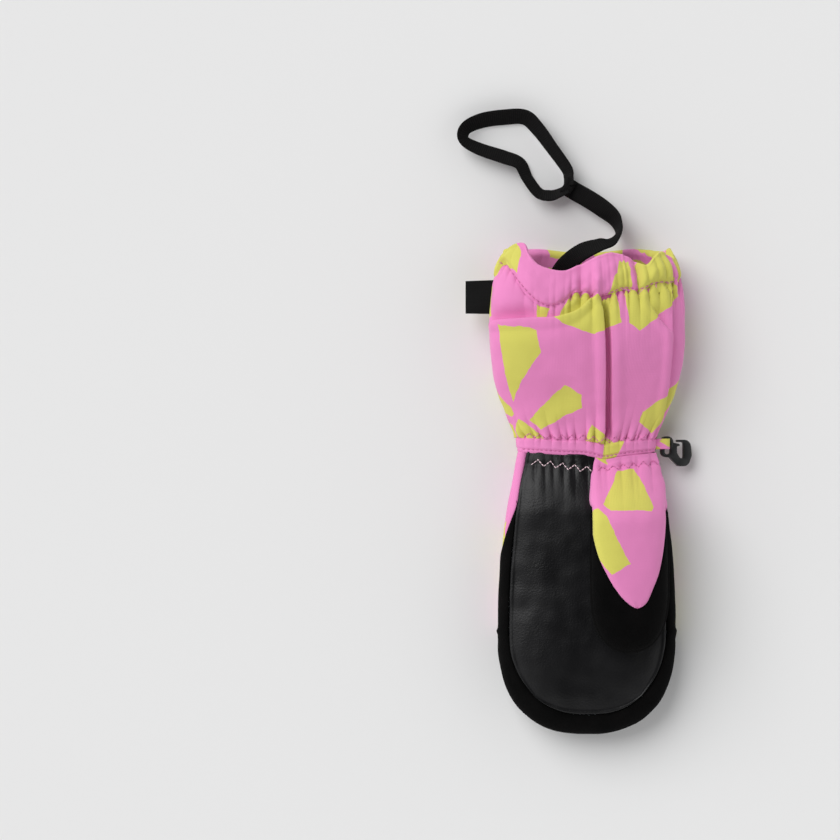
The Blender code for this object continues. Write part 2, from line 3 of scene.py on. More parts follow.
import bmesh
import bpy
import numpy as np
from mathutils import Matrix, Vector, noise
from mathutils.bvhtree import BVHTree


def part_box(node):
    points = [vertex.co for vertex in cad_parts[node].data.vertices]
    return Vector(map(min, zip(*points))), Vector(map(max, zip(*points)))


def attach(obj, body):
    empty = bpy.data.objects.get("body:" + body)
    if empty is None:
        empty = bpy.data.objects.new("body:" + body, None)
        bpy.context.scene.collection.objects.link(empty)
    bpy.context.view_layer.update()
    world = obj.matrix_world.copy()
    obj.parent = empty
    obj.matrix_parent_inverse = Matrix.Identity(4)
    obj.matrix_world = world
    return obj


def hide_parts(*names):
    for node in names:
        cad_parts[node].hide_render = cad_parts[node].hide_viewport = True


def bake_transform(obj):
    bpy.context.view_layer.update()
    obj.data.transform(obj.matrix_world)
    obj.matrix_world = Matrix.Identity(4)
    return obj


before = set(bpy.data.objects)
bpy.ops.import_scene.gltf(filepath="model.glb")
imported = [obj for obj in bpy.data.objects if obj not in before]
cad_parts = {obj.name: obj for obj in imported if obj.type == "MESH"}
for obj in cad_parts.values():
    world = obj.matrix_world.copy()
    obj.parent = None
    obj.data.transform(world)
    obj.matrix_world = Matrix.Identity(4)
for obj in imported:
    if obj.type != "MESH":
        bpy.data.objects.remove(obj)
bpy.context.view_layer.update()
scene = bpy.context.scene
print("frame loaded:", len(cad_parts), "solids")


# small sums used all over

def ease(t):
    t = np.clip(t, 0.0, 1.0)
    return t * t * (3 - 2 * t)


def mix(a, b, t):
    return a + (b - a) * t


def signedPower(value, exponent):
    return np.sign(value) * np.abs(value) ** exponent


def bump(distance, width):
    return np.exp(-(distance / width) ** 2)


def through(knots, x):
    # smooth curve through (x, value) knots, flat beyond both ends
    knots = np.array(knots, float)
    x = np.clip(x, knots[0, 0], knots[-1, 0])
    slopes = np.gradient(knots[:, 1], knots[:, 0])
    i = np.clip(np.searchsorted(knots[:, 0], x) - 1, 0, len(knots) - 2)
    width = knots[i + 1, 0] - knots[i, 0]
    t = (x - knots[i, 0]) / width
    a, b = knots[i, 1], knots[i + 1, 1]
    bend = a * (1 + 2 * t) * (1 - t) ** 2 + b * t * t * (3 - 2 * t)
    return bend + width * (slopes[i] * t * (1 - t) ** 2 - slopes[i + 1] * t * t * (1 - t))


def crumple(points, size, seed):
    # even, seeded unevenness of cloth, about -1 to 1, at a size in metres
    flat = points.reshape(-1, 3)
    offset = Vector((seed * 3.7, seed * 1.9, seed * 5.3))
    values = [noise.noise(Vector(p) / size + offset) for p in flat]
    return np.array(values).reshape(points.shape[:-1])


def lengthAlong(points, axis):
    # distance walked from the first point along one axis of a grid
    steps = np.linalg.norm(np.diff(points, axis=axis), axis=-1)
    return np.concatenate([0 * np.take(steps, [0], axis), np.cumsum(steps, axis)], axis)


def nearest(points, *edges):
    # distance of each grid point from the nearest of some edges of the grid
    return np.min([np.linalg.norm(points - edge, axis=-1) for edge in edges], axis=0)


def keepAbove(grid, level=0.0):
    grid[..., 2] = np.maximum(grid[..., 2], level)
    return grid


# colours and nodes

def hexColour(code):
    parts = [int(code[i:i + 2], 16) / 255 for i in (0, 2, 4)]
    return tuple(c / 12.92 if c < 0.04045 else ((c + 0.055) / 1.055) ** 2.4 for c in parts) + (1.0,)


def addNode(tree, kind, inputs=None, **settings):
    made = tree.nodes.new(kind)
    for key, value in settings.items():
        setattr(made, key, value)
    for socket, value in (inputs or {}).items():
        if isinstance(value, bpy.types.NodeSocket):
            tree.links.new(value, made.inputs[socket])
        else:
            made.inputs[socket].default_value = value
    return made


def addMath(tree, operation, first, second):
    return addNode(tree, "ShaderNodeMath", {0: first, 1: second}, operation=operation).outputs[0]


def addVector(tree, operation, first, second):
    return addNode(tree, "ShaderNodeVectorMath", {0: first, 1: second}, operation=operation).outputs


def addRange(tree, value, low, high, fromLow=0.0, fromHigh=1.0, **settings):
    limits = {"From Min": fromLow, "From Max": fromHigh, "To Min": low, "To Max": high}
    return addNode(tree, "ShaderNodeMapRange", {"Value": value, **limits}, **settings).outputs[0]


def addNoise(tree, place, scale, detail):
    return addNode(tree, "ShaderNodeTexNoise", {"Vector": place, "Scale": scale, "Detail": detail}).outputs


waveTurn = 0.314     # a wave texture at a scale of 1 repeats after this length


def addWave(tree, place, pitch, direction, **more):
    inputs = {"Vector": place, "Scale": waveTurn / pitch, **more}
    return addNode(tree, "ShaderNodeTexWave", inputs, bands_direction=direction).outputs["Fac"]


def blendColours(tree, factor, first, second):
    inputs = {"Factor": factor, 6: hexColour(first), 7: hexColour(second)}
    return addNode(tree, "ShaderNodeMix", inputs, data_type="RGBA").outputs[2]


def addRelief(tree, shader, height, strength, distance):
    relief = addNode(tree, "ShaderNodeBump", {"Strength": strength, "Distance": distance, "Height": height})
    tree.links.new(relief.outputs[0], shader.inputs["Normal"])


def objectPlace(tree):
    return addNode(tree, "ShaderNodeTexCoord").outputs["Object"]


def newMaterial(name):
    made = bpy.data.materials.new(name)
    made.use_nodes = True
    tree = made.node_tree
    return made, tree, tree.nodes["Principled BSDF"]


# stage: pale floor, soft light from the upper left, camera straight above

stageSet = {
    "floor": "E6E6E6",
    "middle": (-0.0952, 0.0995),  # what the middle of the picture looks at
    "across": 0.479,              # width of the picture at the mitten's middle height
    "level": 0.018,
    "height": 1.7,
    "key": 2.3,
    "from": (-0.62, 0.62, 0.85),
    "softness": 48,
    "world": 1.12,
    "ceiling": "28292B",
    "walls": "FFFFFF",
    "ceilingWay": (0.0, 0.24, 1.0),
}


def makeStage():
    bpy.ops.mesh.primitive_plane_add(size=6.0, location=(0, 0, -0.0004))
    floor = bpy.context.object
    floor.name = "studioFloor"
    paper, tree, shader = newMaterial("matt backdrop paper")
    shader.inputs["Base Color"].default_value = hexColour(stageSet["floor"])
    shader.inputs["Roughness"].default_value = 0.9
    shader.inputs["Specular IOR Level"].default_value = 0.1
    floor.data.materials.append(paper)

    world = bpy.data.worlds.new("studio")
    scene.world = world
    world.use_nodes = True
    # a dim ceiling over bright walls, as round a copy stand, leaning so that the fingers' side is brighter
    tree = world.node_tree
    back = tree.nodes["Background"]
    way = addNode(tree, "ShaderNodeTexCoord").outputs["Generated"]
    height = addVector(tree, "DOT_PRODUCT", way, stageSet["ceilingWay"])[1]
    wall = addRange(tree, height, 1.0, 0.0, 0.35, 0.95, interpolation_type="SMOOTHSTEP")
    tone = blendColours(tree, wall, stageSet["ceiling"], stageSet["walls"])
    tree.links.new(tone, back.inputs["Color"])
    back.inputs["Strength"].default_value = stageSet["world"]

    key = bpy.data.lights.new("largeSoftbox", "SUN")
    key.energy = stageSet["key"]
    key.angle = math.radians(stageSet["softness"])
    keyObject = bpy.data.objects.new("largeSoftbox", key)
    scene.collection.objects.link(keyObject)
    keyObject.location = stageSet["from"]
    keyObject.rotation_euler = (-keyObject.location).to_track_quat("-Z", "Y").to_euler()

    lens = bpy.data.cameras.new("camera")
    lens.sensor_width = 36
    lens.lens = 36 * (stageSet["height"] - stageSet["level"]) / stageSet["across"]
    camera = bpy.data.objects.new("camera", lens)
    scene.collection.objects.link(camera)
    camera.location = (*stageSet["middle"], stageSet["height"])
    scene.camera = camera
    scene.view_settings.view_transform = "Standard"
    print("stage ready")


# materials

printSet = {
    "pink": "DE82B9",
    "lime": "CBC65C",
    "chip": 0.027,       # metres between chip centres
    "share": 0.47,       # chips printed lime
    "gapLow": 0.05,      # pink left round a chip, in chip widths
    "gapHigh": 0.17,
    "wear": 0.0022,      # how far the chips' edges wander
    "thread": 0.0009,    # real threads are 0.2 mm, drawn coarser so that they show
}


def printedShellCloth(name, shift, share=printSet["share"]):
    # woven polyester shell, printed with terrazzo chips: matt, with a soft bloom at grazing light
    made, tree, shader = newMaterial(name)
    cloth = addNode(tree, "ShaderNodeAttribute", attribute_name="cloth").outputs["Vector"]
    placed = addVector(tree, "ADD", cloth, shift)[0]
    rough = addNoise(tree, placed, 160.0, 3.0)["Color"]
    centred = addVector(tree, "SUBTRACT", rough, (0.5, 0.5, 0.5))[0]
    small = addNode(tree, "ShaderNodeVectorMath", {0: centred, "Scale": printSet["wear"]}, operation="SCALE")
    worn = addVector(tree, "ADD", placed, small.outputs[0])[0]
    cells = {"Vector": worn, "Scale": 1 / printSet["chip"], "Randomness": 1.0}
    chip = addNode(tree, "ShaderNodeTexVoronoi", cells, voronoi_dimensions="2D", feature="F1")
    edge = addNode(tree, "ShaderNodeTexVoronoi", cells, voronoi_dimensions="2D", feature="DISTANCE_TO_EDGE")
    dice = addNode(tree, "ShaderNodeSeparateColor", {"Color": chip.outputs["Color"]}).outputs
    chosen = addMath(tree, "GREATER_THAN", dice[0], 1 - share)
    gap = addRange(tree, dice[1], printSet["gapLow"], printSet["gapHigh"])
    inside = addMath(tree, "GREATER_THAN", edge.outputs["Distance"], gap)
    mask = addMath(tree, "MULTIPLY", chosen, inside)
    colour = blendColours(tree, mask, printSet["pink"], printSet["lime"])
    shade = addRange(tree, addNoise(tree, placed, 60.0, 4.0)["Fac"], 0.955, 1.03)
    toned = addNode(tree, "ShaderNodeHueSaturation", {"Color": colour, "Value": shade}).outputs[0]
    tree.links.new(toned, shader.inputs["Base Color"])
    warp = addWave(tree, placed, printSet["thread"], "X")
    weft = addWave(tree, placed, printSet["thread"], "Y")
    addRelief(tree, shader, addMath(tree, "ADD", warp, weft), 0.12, 0.0003)
    shader.inputs["Roughness"].default_value = 0.78
    shader.inputs["Specular IOR Level"].default_value = 0.28
    shader.inputs["Sheen Weight"].default_value = 0.12
    shader.inputs["Sheen Roughness"].default_value = 0.5
    return made


leatherSet = {"pebble": 0.0009, "broad": 0.006, "cloud": 0.03, "dark": "060607", "light": "0E0E10"}


def grainedLeather():
    # polyurethane-coated synthetic leather, embossed with a fine pebble grain: satin with broad highlights
    made, tree, shader = newMaterial("black grained synthetic leather")
    place = objectPlace(tree)
    pebble = addNode(tree, "ShaderNodeTexVoronoi", {"Vector": place, "Scale": 1 / leatherSet["pebble"]},
                     feature="SMOOTH_F1").outputs["Distance"]
    broad = addNoise(tree, place, 1 / leatherSet["broad"], 5.0)["Fac"]
    addRelief(tree, shader, addMath(tree, "MULTIPLY", pebble, broad), 0.38, 0.0004)
    cloud = addNoise(tree, place, 1 / leatherSet["cloud"], 3.0)["Fac"]
    tree.links.new(addRange(tree, cloud, 0.34, 0.47, 0.3, 0.7), shader.inputs["Roughness"])
    worn = blendColours(tree, cloud, leatherSet["dark"], leatherSet["light"])
    tree.links.new(worn, shader.inputs["Base Color"])
    shader.inputs["Specular IOR Level"].default_value = 0.27
    return made


def napCloth(name, dark, light, nap, sheen):
    # brushed synthetic suede or fleece: a short nap that scatters light and hides any highlight
    made, tree, shader = newMaterial(name)
    place = objectPlace(tree)
    fibre = addNode(tree, "ShaderNodeTexNoise", {"Vector": place, "Scale": 1 / nap, "Detail": 6.0,
                                                 "Roughness": 0.7}).outputs["Fac"]
    lie = addNoise(tree, place, 1 / 0.012, 3.0)["Fac"]
    spread = addRange(tree, addMath(tree, "MULTIPLY", fibre, lie), 0.0, 1.0, 0.12, 0.42)
    tree.links.new(blendColours(tree, spread, dark, light), shader.inputs["Base Color"])
    addRelief(tree, shader, fibre, 0.5, 0.0004)
    shader.inputs["Roughness"].default_value = 0.95
    shader.inputs["Specular IOR Level"].default_value = 0.05
    shader.inputs["Sheen Weight"].default_value = sheen
    return made


def ribbedTape(name, dark, light, rib):
    # woven elastic: crosswise ribs of covered rubber with fine yarn between
    made, tree, shader = newMaterial(name)
    along = addNode(tree, "ShaderNodeAttribute", attribute_name="cloth").outputs["Vector"]
    ribs = addWave(tree, along, rib, "X", Distortion=0.3, Detail=1.0)
    yarn = addWave(tree, along, rib * 0.8, "Y")
    weave = addMath(tree, "MULTIPLY", ribs, yarn)
    # the colour follows the ribs' relief: the crests are painted lighter as a painted highlight, and the
    # hollows between them are painted darker as painted shade
    tree.links.new(blendColours(tree, weave, dark, light), shader.inputs["Base Color"])
    addRelief(tree, shader, weave, 0.6, 0.0003)
    shader.inputs["Roughness"].default_value = 0.75
    shader.inputs["Specular IOR Level"].default_value = 0.12
    return made


def mouldedPlastic():
    # injection-moulded acetal: glossy, with a faint ripple from the tool
    made, tree, shader = newMaterial("black moulded acetal")
    ripple = addNoise(tree, objectPlace(tree), 1 / 0.004, 2.0)["Fac"]
    addRelief(tree, shader, ripple, 0.15, 0.0002)
    tree.links.new(addRange(tree, ripple, 0.26, 0.40), shader.inputs["Roughness"])
    shader.inputs["Base Color"].default_value = hexColour("121314")
    shader.inputs["IOR"].default_value = 1.48
    return made


def spunThread(name, code):
    # spun polyester sewing thread: two twisted plies with a slight lustre
    made, tree, shader = newMaterial(name)
    addRelief(tree, shader, addWave(tree, objectPlace(tree), 0.0005, "DIAGONAL"), 0.3, 0.0001)
    shader.inputs["Base Color"].default_value = hexColour(code)
    shader.inputs["Roughness"].default_value = 0.55
    return made


def looseFibre(name, code):
    # lofty polyester fibre or thin film, inside the mitten
    made, tree, shader = newMaterial(name)
    addRelief(tree, shader, addNoise(tree, objectPlace(tree), 1 / 0.002, 6.0)["Fac"], 0.6, 0.0006)
    shader.inputs["Base Color"].default_value = hexColour(code)
    shader.inputs["Roughness"].default_value = 0.9
    return made


finishes = {
    "cuffPrint": printedShellCloth("printed shell cloth of the cuff", (0.013, 0.007, 0.0)),
    "hemPrint": printedShellCloth("printed shell cloth of the hem", (0.211, 0.433, 0.0)),
    "bandPrint": printedShellCloth("printed shell cloth of the band", (0.704, 0.118, 0.0), 0.12),
    "thumbPrint": printedShellCloth("printed shell cloth of the thumb", (1.252, 0.571, 0.0)),
    "backPrint": printedShellCloth("printed shell cloth of the back", (0.315, 0.940, 0.0), 0.52),
    "leather": grainedLeather(),
    "suede": napCloth("black brushed synthetic suede", "040404", "0B0A0A", 0.0007, 0.01),
    "fleece": napCloth("charcoal fleece lining", "1C1C1F", "3A3A3E", 0.0012, 0.2),
    "lining": napCloth("pink tricot lining", "B4578C", "CF74A6", 0.0006, 0.1),
    "webbing": ribbedTape("black ribbed elastic webbing", "070607", "181716", 0.0012),
    "label": ribbedTape("black woven label tape", "080808", "131313", 0.0008),
    "elastic": ribbedTape("white knitted elastic", "B9B6AF", "DAD7D0", 0.0011),
    "plastic": mouldedPlastic(),
    "paleThread": spunThread("pale pink polyester thread", "E9CFD6"),
    "pinkThread": spunThread("pink polyester thread", "C96FA2"),
    "wadding": looseFibre("polyester wadding", "DEDCD4"),
    "membrane": looseFibre("breathable film", "C9D2D6"),
}
print("materials ready:", len(finishes))


# sewing: grids of points become closed sheets

def gridNormals(points, closed, inside):
    # outward direction at each point of a grid; inside is a point in the piece's hollow
    across = np.roll(points, -1, 1) - np.roll(points, 1, 1) if closed else np.gradient(points, axis=1)
    along = np.gradient(points, axis=0)
    normals = np.cross(across, along)
    normals /= np.maximum(np.linalg.norm(normals, axis=-1, keepdims=True), 1e-12)
    if np.sum(normals * (points - inside)) < 0:
        normals = -normals
    return normals


swayLine = [(-42, 2.4), (-15, 0.8), (3, -0.4), (9, -2.0), (18, -0.6), (40, 1.8)]


def sway(x, y):
    # the wrist seam isn't straight: it rises at both sides and dips beside the thumb
    return through(swayLine, x * 1000) / 1000 * bump(y - 0.082, 0.013)


def sewSheet(name, outer, inner, finish, flat=None, keep=None):
    rows, columns = outer.shape[:2]
    outer, inner = outer.copy(), inner.copy()
    for grid in (outer, inner):
        grid[..., 1] += sway(grid[..., 0], grid[..., 1])
    places, depths = outer.reshape(-1, 3), inner.reshape(-1, 3)
    mesh = bmesh.new()
    spot = mesh.verts.layers.int.new("spot")
    verts = []
    for index, place in enumerate(places):
        vert = mesh.verts.new(place)
        vert[spot] = index
        verts.append(vert)
    for r in range(rows - 1):
        for c in range(columns - 1):
            if keep is None or keep[r, c]:
                here, above = r * columns + c, (r + 1) * columns + c
                mesh.faces.new((verts[here], verts[here + 1], verts[above + 1], verts[above]))
    bmesh.ops.delete(mesh, geom=[v for v in mesh.verts if not v.link_faces], context="VERTS")
    bmesh.ops.remove_doubles(mesh, verts=mesh.verts[:], dist=1e-6)
    grown = bmesh.ops.extrude_face_region(mesh, geom=mesh.faces[:], use_keep_orig=True)
    for item in grown["geom"]:
        if isinstance(item, bmesh.types.BMVert):
            item.co = depths[item[spot]]
    bmesh.ops.recalc_face_normals(mesh, faces=mesh.faces[:])
    for face in mesh.faces:
        face.smooth = True
    spots = [v[spot] for v in mesh.verts]
    data = bpy.data.meshes.new(name)
    mesh.to_mesh(data)
    mesh.free()
    if flat is not None:
        values = np.zeros((len(spots), 3), np.float32)
        values[:, :2] = flat.reshape(-1, 2)[spots]
        data.attributes.new("cloth", "FLOAT_VECTOR", "POINT").data.foreach_set("vector", values.ravel())
    data.materials.append(finishes[finish])
    made = bpy.data.objects.new(name, data)
    scene.collection.objects.link(made)
    return made


def dress(made, node):
    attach(made, "mitten")
    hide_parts(node)
    return made


profile = 2.4        # squareness of the cross-section
tipSquare = 2.45     # squareness of the tip in plan
tipShare = 0.5       # share of the outline that lies round the tip
taper = 2.4          # how late the sides draw in towards the root
sectionSet = {
    # middle height, rise above it and depth below it
    "wrist": (0.01138, 0.01242, 0.01058), "belly": (0.02112, 0.02288, 0.02312), "mouth": (0.015, 0.015, 0.015),
    "hand": (0.01504, 0.01696, 0.01704),
    "thumbRoot": (0.0166, 0.00522, 0.0068), "thumb": (0.0384, 0.0130, 0.0068),
}


def between(first, second, t):
    return [mix(a, b, t) for a, b in zip(sectionSet[first], sectionSet[second])]


def dome(out):
    # height of a cross-section, 0 to 1, at a share of its half width
    return (1 - np.clip(out, 0, 1) ** profile) ** (1 / profile)


# cuff: a slouching tube with pleats, gathered at the wrist and the hem

cuffSet = {
    "wristY": 0.0795, "startY": 0.088, "mouthY": 0.197, "bellyY": 0.15235,
    "wristHalf": 0.03875, "half": 0.05575, "mouthHalf": 0.0425,
    "frontColumns": 380, "backColumns": 120, "rows": 150, "cloth": 0.0006,
    # lines in plan, millimetres: the tuck, the stitching and the rim across, the pleat and side fold down
    "tuck": [(-60, 153), (-53.6, 154.2), (-35, 155.6), (-14.8, 157), (-6, 160.5), (1, 166.7), (8, 173)],
    "stitch": [(-54, 190), (-48.7, 187), (-42.7, 181), (-37.6, 173.8), (-32.5, 168.0), (-27.4, 164.0),
               (-20, 162.5), (-14, 165), (-8.6, 169.5), (-3, 170), (6, 168.2), (12.8, 170), (18.8, 172.5),
               (29.9, 172), (35.9, 175), (46.2, 176), (54, 177)],
    "rim": [(-46, 194), (-41, 199.0), (-36, 198.5), (-31, 192.5), (-26, 187.5), (-19, 184.5), (-12, 183.5),
            (-5, 187), (5, 190.5), (13.7, 192.5), (23.0, 190), (28.5, 186.5), (34.2, 191), (39.3, 193.5),
            (46, 189)],
    "pleat": [(82, 9.6), (113, 8.9), (131, 8.4), (145, 7.8), (170, 6.0)],
    "side": [(94, 41.5), (106, 43.6), (119, 45.4), (146, 46.4), (176, 45.6)],
    # gathers, millimetres: distance between them, height and reach along the cloth
    "wristPitch": 6.7, "wristGather": 3.5, "wristReach": 6.0,
    "hemPitch": 4.6, "hemGather": 4.6, "hemReach": 6.0, "hemDip": 1.3, "slack": 0.25,
    "backStitch": 179.0, "backRim": 197.0,
    # soft hollows and swellings: place, size and height, millimetres
    "swells": [(-15, 112, 9, 8, -1.5), (-36, 112, 9, 12, -1.0), (30, 118, 10, 12, -1.1), (-38, 135, 8, 10, 0.8),
               (24, 146, 8, 9, 0.8), (-4, 128, 6, 18, 0.7), (-22, 140, 14, 7, 0.6), (-45, 168, 8, 9, 1.2),
               (-16, 103, 5, 6, 0.8)],
    # puffs and dents of the hem's front: place, width and height, millimetres
    "puffs": [(11, 10, 3.6), (40, 7, 3.2), (28.5, 2.6, -1.8), (-5, 3.5, -1.2), (-38, 9, 0.8)],
    "lining": 0.0005, "band": 0.0008, "hemTape": slice(14, 34), "wristTape": slice(4, 20),
}


def sleevePoint(turn, y):
    c = cuffSet
    low = np.clip((y - c["startY"]) / (c["bellyY"] - c["startY"]), 0, 1)
    high = np.clip((y - c["bellyY"]) / (c["mouthY"] - c["bellyY"]), 0, 1.15)
    below = mix(c["wristHalf"], c["half"], 1 - (1 - low) ** 2.2)
    half = np.where(y < c["bellyY"], below, mix(c["half"], c["mouthHalf"], high ** 3))
    lower, upper = between("wrist", "belly", ease(low)), between("belly", "mouth", high ** 2)
    middle, up, down = (np.where(y < c["bellyY"], a, b) for a, b in zip(lower, upper))
    x = signedPower(np.cos(turn), 2 / profile) * half
    z = middle + signedPower(np.sin(turn), 2 / profile) * np.where(np.sin(turn) > 0, up, down)
    return np.stack([x, y + 0 * turn, np.maximum(z, 0.0)], -1)


def sleeveOut(turn, y):
    # outward direction of the plain tube
    across = sleevePoint(turn + 0.004, y) - sleevePoint(turn - 0.004, y)
    along = sleevePoint(turn, y + 0.0005) - sleevePoint(turn, y - 0.0005)
    out = np.cross(along, across)
    return out / np.maximum(np.linalg.norm(out, axis=-1, keepdims=True), 1e-12)


fineTurns = np.linspace(0, 2 * math.pi, 6001)
fineRing = sleevePoint(fineTurns, 0.15 + 0 * fineTurns)
fineGirth = lengthAlong(fineRing, 0)


def turnAt(girth):
    # turn round the cuff at a length along its cloth
    whole = fineGirth[-1]
    return np.interp(np.mod(girth, whole), fineGirth, fineTurns)


def gatherRow(seed, pitch, total):
    # unequal gathers along a seam: where each starts, how tall and how long it is
    dice = np.random.default_rng(seed)
    count = round(total / pitch)
    steps = dice.uniform(0.5, 1.5, count)
    starts = np.concatenate([[0], np.cumsum(steps)]) * total / steps.sum()
    return starts, dice.uniform(0.55, 1.2, count), dice.uniform(0.5, 1.5, count)


def gathers(row, along, away, reach):
    # rounded crests with sharp creases between them, dying out away from the seam
    starts, tall, long = row
    along = np.mod(along, starts[-1])
    i = np.clip(np.searchsorted(starts, along, side="right") - 1, 0, len(tall) - 1)
    t = np.clip((along - starts[i]) / (starts[i + 1] - starts[i]), 0, 1)
    usual = 0.9 * starts[-1] / len(tall)
    crest = np.sin(math.pi * t) ** 0.7 * tall[i] * np.minimum((starts[i + 1] - starts[i]) / usual, 1.0)
    return crest * np.exp(-away / (reach * long[i])) - 0.42 * np.exp(-away / reach)


wristRow = gatherRow(4, cuffSet["wristPitch"], fineGirth[-1] * 1000)
hemRow = gatherRow(9, cuffSet["hemPitch"], fineGirth[-1] * 1000)
thumbRow = gatherRow(13, 6.0, 80.0)
palmRow = gatherRow(17, 6.4, 100.0)


def tightness(x):
    # how hard the hem's elastic gathers the cloth, slack at the left
    return mix(cuffSet["slack"], 1.0, ease((x + 15) / 8))


def cuffFolds(x, y, g, front):
    # how far the cloth stands off the tube and slides sideways and along it, all in millimetres
    c = cuffSet
    # tuck across the left front: the lower panel's lip lies over the cloth above it
    e = y - through(c["tuck"], x)
    reach = front * (1 - ease((x + 1) / 8))
    room = ease((through(c["stitch"], x) - through(c["tuck"], x) - 5) / 13)
    hollow = ease((e + 0.8) / 2.2) * bump(np.maximum(e - 1, 0), mix(4.0, 7.0, room))
    lift = reach * (2.6 * bump(e + 1.8, 2.4) + 1.5 * bump(e + 9, 8.0) - (1.0 + 3.8 * room) * hollow)
    along = reach * (2.6 * bump(e + 1.2, 1.8) - 2.4 * bump(e - 1.8, 1.8))
    # deep pleat down the middle, its left lip lying over the groove
    d = x - through(c["pleat"], y)
    reach = front * ease((y - 88) / 7) * (1 - ease((y - 160) / 8))
    lift = lift + reach * (1.6 * bump(d + 1.8, 2.4) + 1.1 * bump(d - 8.0, 3.2)
                           - 4.6 * ease((d + 0.6) / 1.5) * (1 - ease((d - 3.4) / 2.0)))
    across = reach * (1.8 * bump(d + 0.9, 1.5) - 1.2 * bump(d - 1.6, 1.3) - 0.5 * bump(d - 5.4, 1.4))
    # folded edge down the right side
    d = x - through(c["side"], y)
    reach = front * ease((y - 93) / 9) * (1 - ease((y - 171) / 6))
    hollow = ease((d + 0.4) / 1.4) * bump(np.maximum(d, 0), 5.0)
    lift = lift + reach * (1.5 * bump(d + 1.6, 2.3) - 2.4 * hollow)
    across = across + reach * (1.3 * bump(d + 0.8, 1.3) - 0.8 * bump(d - 1.4, 1.2))
    # slanting fold that the hem pulls into the right panel
    d = (x - 29.8 - 0.70 * (170.6 - y)) * 0.82
    reach = front * ease((y - 138) / 12) * (1 - ease((y - 158) / 9))
    reach = reach * ease((x - 20) / 8) * (1 - ease((x - 43) / 4))
    hollow = ease((d + 0.3) / 1.6) * bump(np.maximum(d, 0), 8.0)
    lift = lift + reach * (1.2 * bump(d + 1.8, 2.4) - 2.2 * hollow)
    for px, py, wide, tall, high in c["swells"]:
        lift = lift + front * high * bump(np.hypot((x - px) / wide, (y - py) / tall), 1.0)
    # gathers at both ends and the groove of the side seam
    rows = gathers(wristRow, g, np.maximum(y - 88.0, 0), c["wristReach"])
    lift = lift + c["wristGather"] * rows * ease((y - 86.5) / 2.2)
    lift = lift - 0.8 * bump(np.minimum(g, fineGirth[-1] * 1000 - g), 0.9)
    below = np.maximum(mix(c["backStitch"], through(c["stitch"], x), front) - y, 0)
    rows = gathers(hemRow, g, below, c["hemReach"])
    lift = lift + tightness(x) * (c["hemGather"] * rows - c["hemDip"] * bump(below, 1.8))
    return lift, across, along


def hemLines(turn):
    # stitching and rim along the cuff for each turn, metres
    reach = signedPower(np.cos(turn), 2 / profile)
    front = ease(np.sin(turn) * 2.2 + 0.15)
    stitch = mix(cuffSet["backStitch"], through(cuffSet["stitch"], reach * 53.0), front)
    rim = mix(cuffSet["backRim"] + 1.0 * np.sin(5 * turn), through(cuffSet["rim"], reach * 46.0), front)
    return stitch / 1000, rim / 1000


